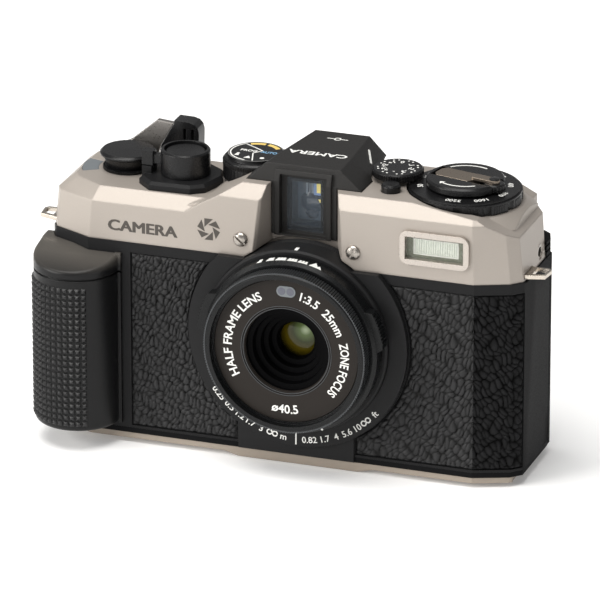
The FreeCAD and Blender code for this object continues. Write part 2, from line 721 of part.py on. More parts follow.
# --------------------------------------------------------------------------
# Flash
# --------------------------------------------------------------------------
FX, FZ = d("flash_x"), d("flash_z")
half_x, half_z = d("flash_wide") / 2, d("flash_high") / 2


def make_bezel():
    x, z = float(FX), float(FZ)
    wide, high = float(half_x), float(half_z)
    lip = block((x - wide, x + wide), (FRONT - 0.9, FRONT), (z - high, z + high))
    lip = lip.makeFillet(2.2, [e for e in lip.Edges if abs(e.tangentAt(0).y) > 0.9])
    neck = block((x - wide + 0.85, x + wide - 0.85), (FRONT - 0.1, FRONT + 1.4),
                 (z - high + 0.85, z + high - 0.85))
    hole = block((x - wide + 1.5, x + wide - 1.5), (FRONT - 2, FRONT + 3),
                 (z - high + 1.5, z + high - 1.5))
    return lip.fuse(neck).cut(hole).removeSplitter()


keep("flash_bezel", shaped(make_bezel()))
keep("flash_window", box((FX - half_x + 1.5, FX + half_x - 1.5), (d("front_y") + 0.1, d("front_y") + 0.8),
                         (FZ - half_z + 1.5, FZ + half_z - 1.5)))
trough = cut(
    box((FX - half_x + 1.2, FX + half_x - 1.2), (d("front_y") + 1.5, d("front_y") + 7.0),
        (FZ - half_z + 1.2, FZ + half_z - 1.2)),
    box((FX - half_x + 1.9, FX + half_x - 1.9), (d("front_y") + 1.0, d("front_y") + 6.3),
        (FZ - half_z + 1.9, FZ + half_z - 1.9)))
keep("flash_reflector", trough)
keep("flash_tube", rod(0.9, half_x * 2 - 4.4, (FX - half_x + 2.2, d("front_y") + 4.6, FZ), "+x"))

# --------------------------------------------------------------------------
# Screws and strap lugs
# --------------------------------------------------------------------------
heads = []
for (x, z), turn in zip(SCREWS, (-38.0, 62.0)):
    screw = turned([(0.0, 0.0), (0.95, 0.0), (0.95, 3.0), (1.9, 3.0), (1.9, 3.35),
                    (1.5, 3.8), (0.8, 4.05), (0.0, 4.1)], (x, FRONT + 3.0, z), "-y")
    slot = box((-2.2, 2.2), (-5.0, -3.55), (-0.24, 0.24))
    slot.Placement = Placement(Vector(x, FRONT + 3.0, z), Rotation(Vector(0, -1, 0), turn)) * slot.Placement
    heads.append(cut(screw, slot))


def make_lug(side):
    """Flat strap loop that sticks out of the seam at one end of the case."""
    end = float(d("case_right")) if side > 0 else -float(d("case_left")) - 0.2
    ring = [(end - 3.0, -7.6), (end - 0.3, -7.6), (end + 4.4, -6.2), (end + 4.9, -1.9),
            (end + 4.0, -0.9), (end - 3.0, -0.9)]
    eye = [(end + 1.0, -6.1), (end + 3.9, -5.2), (end + 4.1, -2.0), (end + 1.0, -1.7)]
    plan = prism([(side * x, y) for x, y in ring], 55.5, 56.5)
    return plan.cut(prism([(side * x, y) for x, y in eye], 55.0, 57.0))


keep("strap_lugs", shaped(Part.makeCompound([make_lug(1), make_lug(-1)])))

# --------------------------------------------------------------------------
# Advance side of the deck
# --------------------------------------------------------------------------
LX, LY = d("lever_x"), d("lever_y")
RX, RY = d("release_x"), d("release_y")
PLATE = [(-46.0, -7.0), (-42.0, -11.0), (-31.0, -10.6), (-27.6, -8.2), (-25.4, -0.5),
         (-27.0, 4.5), (-32.0, 8.0), (-41.0, 8.0), (-46.0, 3.0)]


def make_button_base():
    low = float(d("deck_low"))
    middle = -36.0, -1.2
    top = [(middle[0] + 0.92 * (x - middle[0]), middle[1] + 0.92 * (y - middle[1]))
           for x, y in PLATE]
    slab = prism(PLATE, low, low + 1.4).fuse(taper(PLATE, low + 1.4, top, low + 2.2))
    slab = slab.cut(drum(2.2, low - 1, low + 4, float(RX), float(RY)))
    slab = slab.cut(drum(float(d("mode_radius")) + 0.5, low, low + 4,
                         float(d("mode_x")), float(d("mode_y"))))
    slab = slab.fuse(block((-46.0, -43.4), (-5.0, -1.0), (low, low + 4.1)))
    slab = slab.cut(cover_mass(0.0, SEAM))
    ring = drum(6.3, low, low + 0.8, float(LX), float(LY))
    ring = ring.cut(drum(3.05, low - 1, low + 2, float(LX), float(LY)))
    return Part.makeCompound([slab.removeSplitter(), ring])


keep("button_base", shaped(make_button_base()))
keep("counter_window", shaped(counter_sector(7.65, 11.85, 67.3, float(d("deck_low")))))
keep("counter_disc", turned([(3.05, 0.0), (10.8, 0.0), (10.8, 0.6), (3.05, 0.6)], (LX, LY, 65.7)))

switch_ring = turned([
    (d("release_radius") - 0.9, 0.0), (d("release_radius"), 0.0), (d("release_radius"), 6.1),
    (d("release_radius") - 0.35, 6.5), (d("release_radius") - 0.9, 6.5),
], (RX, RY, d("release_top") - 6.5))
switch_link = box((RX - 7.8, RX - 5.7), (RY - 2.9, RY - 0.7),
                  (d("release_top") - 4.1, d("release_top") - 1.7))
switch_bar = box((RX - 10.7, RX - 7.7), (RY - 3.5, RY - 0.5),
                 (d("release_top") - 4.5, d("release_top") - 0.8))
keep("main_switch", fuse(switch_ring, switch_link, switch_bar))
keep("shutter_button", turned([
    (0.0, 0.0), (2.0, 0.0), (2.0, 6.0), (5.4, 6.0), (5.4, 9.2), (4.9, 9.7), (2.8, 9.45), (0.0, 9.35),
], (RX, RY, d("release_top") - 10.3)))

lever_post = turned([
    (0.0, 0.0), (2.95, 0.0), (2.95, 13.3), (5.4, 13.3), (6.5, 16.0), (6.6, 16.0), (7.28, 16.4),
    (7.28, 16.8), (7.05, 16.95), (6.7, 17.35), (0.0, 17.45),
], (LX, LY, 55.9))
keep("lever_cap", lever_post)
WALL = [(-57.2, 69.6), (-57.2, 71.6), (-55.2, 72.6), (-47.9, 78.9), (-43.4, 78.5),
        (-46.9, 72.3), (-47.6, 69.6)]
arm = shaped(prism(WALL, 11.4, 13.0, "y").fuse(block((-57.2, -49.6), (5.5, 13.0), (69.6, 71.4))))
keep("advance_lever", cut(arm, rod(6.7, 12.0, (LX, LY, 65.0))))


def make_lever_tip():
    edge = [(-43.15, 79.4), (-43.25, 78.4), (-46.7, 72.25), (-47.1, 70.8), (-36.6, 70.8),
            (-36.5, 76.6), (-36.85, 77.9), (-37.8, 78.9), (-39.2, 79.3)]
    tip = prism(edge, 11.4, 16.0, "y")
    for x in (-40.3, -38.2):
        tip = tip.cut(block((x - 0.35, x + 0.35), (11.0, 12.1), (71.6, 77.4)))
    return tip.removeSplitter()


keep("lever_tip", shaped(make_lever_tip()))


def make_sprocket():
    x, y = float(d("sprocket_x")), float(d("sprocket_y"))
    wheel = drum(5.9, 19.0, 51.0 - 1.0, x, y).cut(drum(5.0, 27.0, 43.0, x, y))
    wheel = wheel.fuse(drum(4.6, 20.0, 49.0, x, y)).fuse(drum(1.5, 6.0, 54.0, x, y))
    tooth = Part.makeCone(0.75, 0.45, 1.1, Vector(5.85, 0, 0), Vector(1, 0, 0))
    for height in (22.6, 47.4):
        for i in range(8):
            one = tooth.copy()
            one.rotate(Vector(0, 0, 0), Vector(0, 0, 1), 45.0 * i + 22.5)
            one.translate(Vector(x, y, height))
            wheel = wheel.fuse(one)
    return wheel


keep("sprocket", shaped(make_sprocket()))
spool = turned([
    (0.0, 0.0), (2.0, 0.0), (2.0, 3.0), (9.4, 3.0), (9.4, 4.4), (d("spool_radius"), 5.0),
    (d("spool_radius"), 41.5), (9.4, 42.1), (9.4, 43.5), (2.0, 43.5), (2.0, 47.0), (0.0, 47.0),
], (d("spool_x"), d("spool_y"), 6.0))
slits = [box((d("spool_x") - 9.0, d("spool_x") + 9.0), (d("spool_y") - 0.5, d("spool_y") + 0.5),
             (20.0, 42.0))]
keep("take_up_spool", cut(spool, *slits))

# --------------------------------------------------------------------------
# Dials
# --------------------------------------------------------------------------
MODE_TALL = 14.0
keep("mode_dial", turned([
    (0.0, 0.0), (2.0, 0.0), (2.0, 7.7), (d("mode_radius"), 7.7), (d("mode_radius"), 12.6),
    (d("mode_radius") - 0.5, 13.1), (d("mode_radius") - 1.1, 13.1), (d("mode_radius") - 1.3, MODE_TALL),
    (0.0, MODE_TALL),
], (d("mode_x"), d("mode_y"), d("mode_top") - MODE_TALL)))
keep("exposure_dial", turned([
    (0.0, 0.0), (2.0, 0.0), (2.0, 8.0), (d("bias_radius"), 8.0), (d("bias_radius"), 9.6),
    (d("bias_radius") - 0.3, 9.95), (0.0, 9.95),
], (d("bias_x"), d("bias_y"), d("bias_top") - 9.95)))
keep("iso_lock_button", turned([
    (0.0, 0.0), (d("lock_radius"), 0.0), (d("lock_radius"), 6.4), (d("lock_radius") - 0.4, 6.9), (0.0, 6.7),
], (d("lock_x"), d("lock_y"), d("deck_high") - 4.9)))


def make_iso_dial():
    x, y = float(d("speed_x")), float(d("speed_y"))
    low, high = float(d("speed_low")), float(d("speed_top"))
    radius = float(d("speed_radius"))
    ring = drum(radius - 0.5, low, high, x, y).fuse(drum(radius, low, high - 0.5, x, y))
    ring = ring.cut(drum(4.3, low - 1, high + 1, x, y))
    for i in range(12):
        angle = math.radians(30.0 * i + 10.0)
        at = x + (radius + 1.2) * math.cos(angle), y + (radius + 1.2) * math.sin(angle)
        ring = ring.cut(drum(1.75, low - 1, high - 0.9, *at))
    return ring.removeSplitter()


keep("iso_dial", shaped(make_iso_dial()))

# --------------------------------------------------------------------------
# Rewind
# --------------------------------------------------------------------------
SX, SY = d("speed_x"), d("speed_y")
KNOB_LOW = d("speed_top") + 0.1
keep("rewind_sleeve", turned([(2.6, 0.0), (4.2, 0.0), (4.2, 17.0), (2.6, 17.0)],
                             (SX, SY, KNOB_LOW - 17.0)))
HANDLE_X = SX + 8.5
# The knob stands turned by this much about its axis, with the crank folded on it.
KNOB_SWING = Placement(Vector(), Rotation(Vector(0, 0, 1), -13.0), Vector(float(SX), float(SY), 0.0))


def swung(obj):
    turned_group = group(obj)
    turned_group.Placement = KNOB_SWING
    return turned_group


crank_bed = box((SX - 8.6, SX + 8.0), (SY - 3.2, SY + 3.2), (d("knob_top") - 1.7, d("knob_top") + 2))
knob_disc = turned([
    (0.0, 0.0), (9.3, 0.0), (d("knob_radius"), 0.5), (d("knob_radius"), 1.9),
    (d("knob_radius") - 0.5, 2.4), (0.0, 2.4),
], (SX, SY, KNOB_LOW))
PIN_X, PIN_Z = SX - 7.4, d("knob_top") - 0.8
keep("rewind_knob", swung(cut(knob_disc, crank_bed, rod(3.1, 5.0, (HANDLE_X, SY, KNOB_LOW - 1)),
                              rod(0.45, 9.0, (PIN_X, SY - 4.5, PIN_Z), "+y"))))
keep("rewind_fork", fuse(
    rod(2.5, KNOB_LOW - 49.0, (SX, SY, 49.0)),
    box((SX - 2.3, SX + 2.3), (SY - 0.6, SY + 0.6), (43.0, 49.5))))
CRANK = [(-7.9, -1.6), (-6.9, -2.9), (2.2, -2.9), (5.6, 2.9), (-6.9, 2.9), (-7.9, 1.6)]
crank_blank = plate(CRANK, 1.0, (SX, SY, d("knob_top") - 1.0))
crank_pin = rod(0.4, 8.6, (PIN_X, SY - 4.3, PIN_Z), "+y")
crank_arm = fuse(box((SX + 2.6, HANDLE_X), (SY - 1.4, SY + 1.4), (d("knob_top") - 0.05, d("knob_top") + 0.7)),
                 rod(1.4, 0.75, (HANDLE_X, SY, d("knob_top") - 0.05)))
keep("rewind_crank", swung(cut(fuse(crank_blank, crank_pin, crank_arm),
                               rod(0.9, 3.0, (HANDLE_X, SY, d("knob_top") - 1)))))
keep("crank_handle", swung(turned([
    (0.0, 0.0), (2.3, 0.0), (2.6, 0.3), (2.6, 1.9), (2.35, 2.15), (0.84, 2.15), (0.84, 3.05), (1.3, 3.05),
    (1.3, 3.3), (0.0, 3.45),
], (HANDLE_X, SY, d("knob_top") - 2.25))))

# --------------------------------------------------------------------------
# Back
# --------------------------------------------------------------------------
HINGE = float(d("hinge_x")), float(d("hinge_y"))


def make_back_cover():
    front = float(d("door_front"))
    back = float(d("back_y"))
    slab = prism(case_outline(), FOOT + 0.2, SEAM - 0.2)
    slab = slab.common(block((-64.4, 65.0), (front, 25.0), (0.0, 60.0)))
    slab = slab.cut(block((-62.6, 56.0), (front - 1, back - 1.8), (FOOT + 2.0, SEAM - 2.0)))
    link = block((50.0, 62.0), (front + 0.1, back), (SEAM - 3.0, SEAM + 0.4))
    tab = prism(TAB_PLAN, SEAM + 0.2, SEAM + 4.1).fuse(prism(TAB_PLAN, SEAM - 3.0, SEAM + 0.4).common(link))
    for low, high in ((SEAM + 1.3, SEAM + 1.8), (SEAM + 2.8, SEAM + 3.3)):
        tab = tab.cut(block((57.3, 62.0), (9.0, 14.0), (low, high)))
    slab = slab.fuse(tab)
    slab = slab.fuse(drum(2.0, 14.0, 44.0, *HINGE))
    slab = slab.fuse(block((HINGE[0], -62.0), (15.7, 17.4), (14.0, 44.0)))
    return slab.cut(drum(0.87, 10.0, 50.0, *HINGE)).removeSplitter()


keep("back_cover", shaped(make_back_cover()))
keep("back_leather", box((-60.5, 52.5), (d("back_y"), d("back_y") + 0.5),
                         (d("skin_low") + 0.3, d("skin_high"))))
holder = cut(
    box((-24.0, 16.0), (d("back_y") + 0.5, d("back_y") + 1.9), (14.0, 44.0)),
    box((-22.4, 14.4), (d("back_y") + 0.5, d("back_y") + 1.3), (15.6, 46.0)),
    box((-19.5, 11.5), (d("back_y"), d("back_y") + 3), (19.0, 46.0)))
keep("memo_holder", holder)
keep("pressure_plate", box((-12.5, 23.5), (d("film_y") + 0.25, d("film_y") + 1.25), (17.8, 52.2)))
keep("hinge_pin", rod(0.8, 50.0, (d("hinge_x"), d("hinge_y"), 3.7)))
keep("door_latch", box((52.8, 54.2), (4.0, 11.6), (30.0, 50.0)))

# --------------------------------------------------------------------------
# Grip and battery bay
# --------------------------------------------------------------------------
GX, GY = float(d("grip_x")), float(d("grip_y"))


def grip_mass(radius, low, high):
    """Half-round column with straight flanks that run back past the case."""
    return drum(radius, low, high, GX, GY).fuse(
        block((GX - radius, GX + radius), (GY, -6.5), (low, high)))


def make_grip_cover():
    radius = float(d("grip_radius"))
    low, high = float(d("grip_low")), float(d("grip_high"))
    shape = grip_mass(radius, low, high + 1.0).removeSplitter()
    slope = [(-28.0, high - 3.3), (-13.0, high), (0.0, high), (0.0, high + 9.0), (-28.0, high + 9.0)]
    shape = shape.cut(prism(slope, -80.0, -40.0, "x"))
    rims = [e for e in shape.Edges if e.BoundBox.YMin < FRONT - 8.0 and e.BoundBox.ZLength < 5.0]
    shape = shape.makeFillet(1.1, rims)
    shape = shape.cut(prism(case_outline(-0.06), low - 1, high + 4))
    flange = block((GX + radius - 0.9, GX + radius + 0.7), (FRONT - 1.0, FRONT - 0.06), (low, high - 0.2))
    shape = shape.fuse(flange)
    groove = drum(radius + 2.0, 46.8, 47.3, GX, GY).cut(drum(radius - 0.35, 46.0, 48.0, GX, GY))
    shape = shape.cut(groove.common(block((-80.0, -40.0), (-30.0, GY), (46.0, 48.0))))
    bay = drum(9.7, low + 3.2, high - 5.9, GX, GY).fuse(
        block((GX - 9.7, GX + 9.7), (GY, -5.0), (low + 3.2, high - 5.9)))
    return shape.cut(bay).cut(drum(3.75, low - 1.0, low + 4.0, GX, GRIP_SCREW_Y)).removeSplitter()


GRIP_SCREW_Y = -20.5
keep("grip_cover", shaped(make_grip_cover()))
coin_screw = turned([(0.0, 0.0), (3.7, 0.0), (3.7, 2.4), (1.6, 2.6), (1.6, 5.0), (0.0, 5.0)],
                    (GX, GRIP_SCREW_Y, d("grip_low") - 0.2))
coin_slot = box((GX - 2.8, GX + 2.8), (GRIP_SCREW_Y - 0.5, GRIP_SCREW_Y + 0.5),
                (0.0, d("grip_low") + 0.7))
keep("grip_screw", cut(coin_screw, coin_slot))


def make_battery_tray():
    outer = drum(8.25, 10.0, 46.0, GX, TRAY_Y).cut(drum(7.95, 11.0, 45.0, GX, TRAY_Y))
    return outer.common(block((-75.0, -45.0), (TRAY_Y, 0.0), (0.0, 60.0)))


keep("battery_tray", shaped(make_battery_tray()))

# --------------------------------------------------------------------------
# Sockets, release button and base screws
# --------------------------------------------------------------------------
keep("tripod_bush", cut(rod(5.5, 5.5, (0.0, 0.0, 0.0)), rod(2.6, 8.0, (0.0, 0.0, -1.0))))
keep("cable_socket", cut(rod(2.0, 5.6, (51.6, SOCKET[0], SOCKET[1]), "+x"),
                         rod(1.3, 4.2, (53.2, SOCKET[0], SOCKET[1]), "+x")))
keep("rewind_release", turned([(0.0, 0.0), (1.6, 0.0), (1.9, 0.3), (1.9, 4.2), (0.0, 4.2)],
                              (*RELEASE_BUTTON, 0.6)))
for x, y in FOOT_SCREWS:
    heads.append(cut(
        fuse(rod(1.5, 0.5, (x, y, d("foot_side") + 0.1)), rod(0.75, 2.4, (x, y, d("foot_side") + 0.6))),
        box((x - 1.0, x + 1.0), (y - 0.2, y + 0.2), (0.5, d("foot_side") + 0.35)),
        box((x - 0.2, x + 0.2), (y - 1.0, y + 1.0), (0.5, d("foot_side") + 0.35))))
keep("case_screws", group(*heads))

board = box((-46.0, 29.0), (-6.0, 12.0), (56.0, 57.2))
legs = [rod(1.2, 3.4, (x, y, 52.6)) for x in (-44.0, 27.0) for y in (-4.0, 10.0)]
chips = [box((x - 5.0, x + 5.0), (-3.0, 7.0), (57.2, 58.4)) for x in (-26.0, -1.0)]
keep("main_board", fuse(board, *legs, *chips))

# --------------------------------------------------------------------------
# Check and write
# --------------------------------------------------------------------------
doc.recompute()
faults = [o.Name for o in doc.Objects if {"Invalid", "Error"} & set(o.State)]
for name, obj in pieces.items():
    if obj.Shape.isNull() or not obj.Shape.isValid() or not obj.Shape.Solids:
        faults.append(name)
if faults:
    raise SystemExit(f"not built: {faults}")

os.makedirs("parts", exist_ok=True)
for name, obj in pieces.items():
    obj.Shape.exportStep(f"parts/{name}.step")
print(f"{len(pieces)} sub-parts written")
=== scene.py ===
"""Half frame camera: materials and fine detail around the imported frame.

Everything is in metres in the frame of the CAD part. Sizes below are written in millimetres and
pass through MM, because every feature here is a few millimetres or less.
"""
import math

import bpy
import numpy as np
from mathutils import Matrix, Vector


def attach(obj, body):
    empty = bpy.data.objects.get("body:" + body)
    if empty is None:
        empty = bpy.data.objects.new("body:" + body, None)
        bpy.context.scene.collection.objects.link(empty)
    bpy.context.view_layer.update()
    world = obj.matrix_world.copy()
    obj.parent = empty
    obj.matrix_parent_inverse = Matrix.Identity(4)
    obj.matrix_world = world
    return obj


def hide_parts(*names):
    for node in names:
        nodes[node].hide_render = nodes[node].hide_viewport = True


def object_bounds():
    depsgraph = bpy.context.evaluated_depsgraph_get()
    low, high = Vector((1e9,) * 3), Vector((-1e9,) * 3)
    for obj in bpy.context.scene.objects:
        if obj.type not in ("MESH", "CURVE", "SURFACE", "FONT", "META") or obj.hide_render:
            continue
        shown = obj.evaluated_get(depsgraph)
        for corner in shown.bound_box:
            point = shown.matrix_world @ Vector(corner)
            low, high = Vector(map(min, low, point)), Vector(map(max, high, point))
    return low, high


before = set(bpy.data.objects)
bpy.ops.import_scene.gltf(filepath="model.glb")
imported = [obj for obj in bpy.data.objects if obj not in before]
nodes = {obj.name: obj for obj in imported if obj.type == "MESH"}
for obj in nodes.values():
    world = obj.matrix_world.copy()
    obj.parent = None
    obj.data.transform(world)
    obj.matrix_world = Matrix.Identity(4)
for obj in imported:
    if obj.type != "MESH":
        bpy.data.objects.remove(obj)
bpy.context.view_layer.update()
SCENE = bpy.context.scene
MM = 0.001

# Places that several details share, and how far a printed mark stands off its face.
LENS_Z = 35.0
FRONT_Y = -15.0
HUMP_TOP = 78.5
MODE, MODE_TOP = (-18.6, 5.0), 76.0
EXPOSURE, EXPOSURE_TOP = (20.0, 3.8), 77.0
REWIND, KNOB_TOP, SPEED_TOP = (38.2, 3.2), 77.0, 74.5
LEVER = (-52.8, 3.3)
HANDLE = (46.482, 1.288)
FLASH = (36.1, 63.3)
PRINT = 0.04
THICK_PRINT = 0.05


# --------------------------------------------------------------------------
# Camera, light and floor
# --------------------------------------------------------------------------
def make_camera():
    """The photograph's view, from far away through a long lens."""
    right = Vector((0.9443, 0.3292, 0.0)).normalized()
    back = Vector((0.3064, -0.8788, 0.3659)).normalized()
    up = back.cross(right).normalized()
    turn = Matrix((right, up, back)).transposed()
    aim = Vector((-0.00379, -0.00351, 0.04042))
    distance = 1.8156
    data = bpy.data.cameras.new("view")
    data.lens = 426.5
    data.sensor_width = 36.0
    data.clip_start = 0.1
    data.clip_end = 50.0
    eye = bpy.data.objects.new("view", data)
    eye.matrix_world = Matrix.Translation(aim + distance * back) @ turn.to_4x4()
    SCENE.collection.objects.link(eye)
    SCENE.camera = eye


def area_light(name, at, width, height, power, colour):
    """Soft box that looks at the middle of the object."""
    data = bpy.data.lights.new(name, "AREA")
    data.shape = "RECTANGLE"
    data.size, data.size_y = width, height
    data.energy = power
    data.color = colour
    lamp = bpy.data.objects.new(name, data)
    lamp.location = at
    aim = Vector((0.0, 0.0, 0.04))
    lamp.rotation_euler = (aim - Vector(at)).to_track_quat("-Z", "Y").to_euler()
    SCENE.collection.objects.link(lamp)


def make_world():
    world = bpy.data.worlds.new("studio")
    world.use_nodes = True
    sky = world.node_tree.nodes["Background"]
    sky.inputs["Color"].default_value = (1.0, 1.0, 1.0, 1.0)
    sky.inputs["Strength"].default_value = 0.32
    SCENE.world = world
    SCENE.view_settings.view_transform = "Standard"


def make_floor():
    half, gap = 6.0, 0.0002
    mesh = bpy.data.meshes.new("floor")
    mesh.from_pydata([(-half, -half, 0), (half, -half, 0), (half, half, 0), (-half, half, 0)],
                     [], [(0, 1, 2, 3)])
    floor = bpy.data.objects.new("floor", mesh)
    floor.location.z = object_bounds()[0][2] - gap
    SCENE.collection.objects.link(floor)
    paper = bpy.data.materials.new("paper")
    paper.use_nodes = True
    lit = paper.node_tree.nodes["Principled BSDF"]
    lit.inputs["Base Color"].default_value = (0.93, 0.93, 0.93, 1.0)
    lit.inputs["Roughness"].default_value = 0.9
    lit.inputs["Emission Color"].default_value = (1.0, 1.0, 1.0, 1.0)
    lit.inputs["Emission Strength"].default_value = 0.14
    mesh.materials.append(paper)


def make_studio():
    warm, cool = (1.0, 0.985, 0.96), (0.95, 0.97, 1.0)
    make_world()
    area_light("softbox_top", (-0.15, -0.22, 1.2), 1.1, 0.7, 14.5, warm)
    area_light("softbox_left", (-1.1, -0.95, 0.62), 0.9, 0.7, 19.0, warm)
    area_light("strip_right", (1.0, 0.35, 0.5), 0.3, 0.7, 0.3, cool)
    make_floor()


# --------------------------------------------------------------------------
# Materials
# --------------------------------------------------------------------------
def linear(rgb):
    """An sRGB colour from 0 to 255 as the linear value that a shader takes."""
    out = []
    for value in rgb:
        c = value / 255.0
        out.append(c / 12.92 if c <= 0.04045 else ((c + 0.055) / 1.055) ** 2.4)
    return out


class Shade:
    """A node material built from a base colour, mottling, grain and rounded edges."""

    def __init__(self, name, rgb, rough, metal=0.0, mottle=0.08, mottle_mm=4.0,
                 grain=0.0, grain_mm=0.25, rough_vary=0.06, edge_mm=0.2, specular=0.5,
                 coat=0.0, ior=1.45):
        self.mat = bpy.data.materials.new(name)
        self.mat.use_nodes = True
        self.tree = self.mat.node_tree
        self.out = self.tree.nodes["Principled BSDF"]
        self.where = self.node("ShaderNodeTexCoord").outputs["Object"]
        self.out.inputs["Metallic"].default_value = metal
        self.out.inputs["Specular IOR Level"].default_value = specular
        self.out.inputs["Coat Weight"].default_value = coat
        self.out.inputs["Coat Roughness"].default_value = 0.15
        self.out.inputs["IOR"].default_value = ior
        base = linear(rgb)
        cloud = self.noise(mottle_mm, 4.0)
        ramp = self.node("ShaderNodeMix", data_type="RGBA")
        ramp.inputs["A"].default_value = [c * (1 - mottle) for c in base] + [1.0]
        ramp.inputs["B"].default_value = [min(1.0, c * (1 + mottle)) for c in base] + [1.0]
        self.link(cloud, ramp.inputs["Factor"])
        self.colour = ramp.outputs["Result"]
        self.link(self.colour, self.out.inputs["Base Color"])
        self.link(self.remap(self.noise(mottle_mm * 0.6, 3.0), rough - rough_vary,
                             rough + rough_vary), self.out.inputs["Roughness"])
        self.normal = None
        if edge_mm:
            bevel = self.node("ShaderNodeBevel")
            bevel.samples = 4
            bevel.inputs["Radius"].default_value = edge_mm * MM
            self.normal = bevel.outputs["Normal"]
        if grain:
            self.bump(self.noise(grain_mm, 2.0), grain * MM)
        elif self.normal:
            self.link(self.normal, self.out.inputs["Normal"])

    def node(self, kind, **values):
        made = self.tree.nodes.new(kind)
        for key, value in values.items():
            setattr(made, key, value)
        return made

    def link(self, a, b):
        self.tree.links.new(a, b)

    def noise(self, size_mm, detail):
        """Cloudy value whose features are about size_mm across."""
        made = self.node("ShaderNodeTexNoise")
        made.inputs["Scale"].default_value = 1.0 / (size_mm * MM)
        made.inputs["Detail"].default_value = detail
        self.link(self.where, made.inputs["Vector"])
        return made.outputs["Fac"]

    def remap(self, value, low, high, start=0.3, end=0.7):
        """Stretches start to end over low to high, and stops there."""
        made = self.node("ShaderNodeMapRange")
        made.inputs["From Min"].default_value = start
        made.inputs["From Max"].default_value = end
        made.inputs["To Min"].default_value = low
        made.inputs["To Max"].default_value = high
        self.link(value, made.inputs["Value"])
        return made.outputs["Result"]

    def glowing(self, strength):
        """Lets the surface shine a little in its own colour: painted light."""
        self.link(self.colour, self.out.inputs["Emission Color"])
        self.out.inputs["Emission Strength"].default_value = strength

    def bump(self, height, depth):
        """Relief of a depth in metres on top of the rounded edges."""
        made = self.node("ShaderNodeBump")
        made.inputs["Strength"].default_value = 1.0
        made.inputs["Distance"].default_value = depth
        self.link(height, made.inputs["Height"])
        if self.normal:
            self.link(self.normal, made.inputs["Normal"])
        self.normal = made.outputs["Normal"]
        self.link(self.normal, self.out.inputs["Normal"])


def glass(name, rgb):
    """Clear glass with a faint unevenness."""
    made = Shade(name, rgb, 0.03, mottle=0.02, mottle_mm=6.0, rough_vary=0.01, edge_mm=0, ior=1.5)
    made.out.inputs["Transmission Weight"].default_value = 1.0
    return made.mat


# Sheen of the painted metal covers.
CHAMPAGNE = dict(metal=0.35, mottle=0.025, mottle_mm=0.5, grain=0.012, grain_mm=0.22,
                 rough_vary=0.03, specular=0.4)

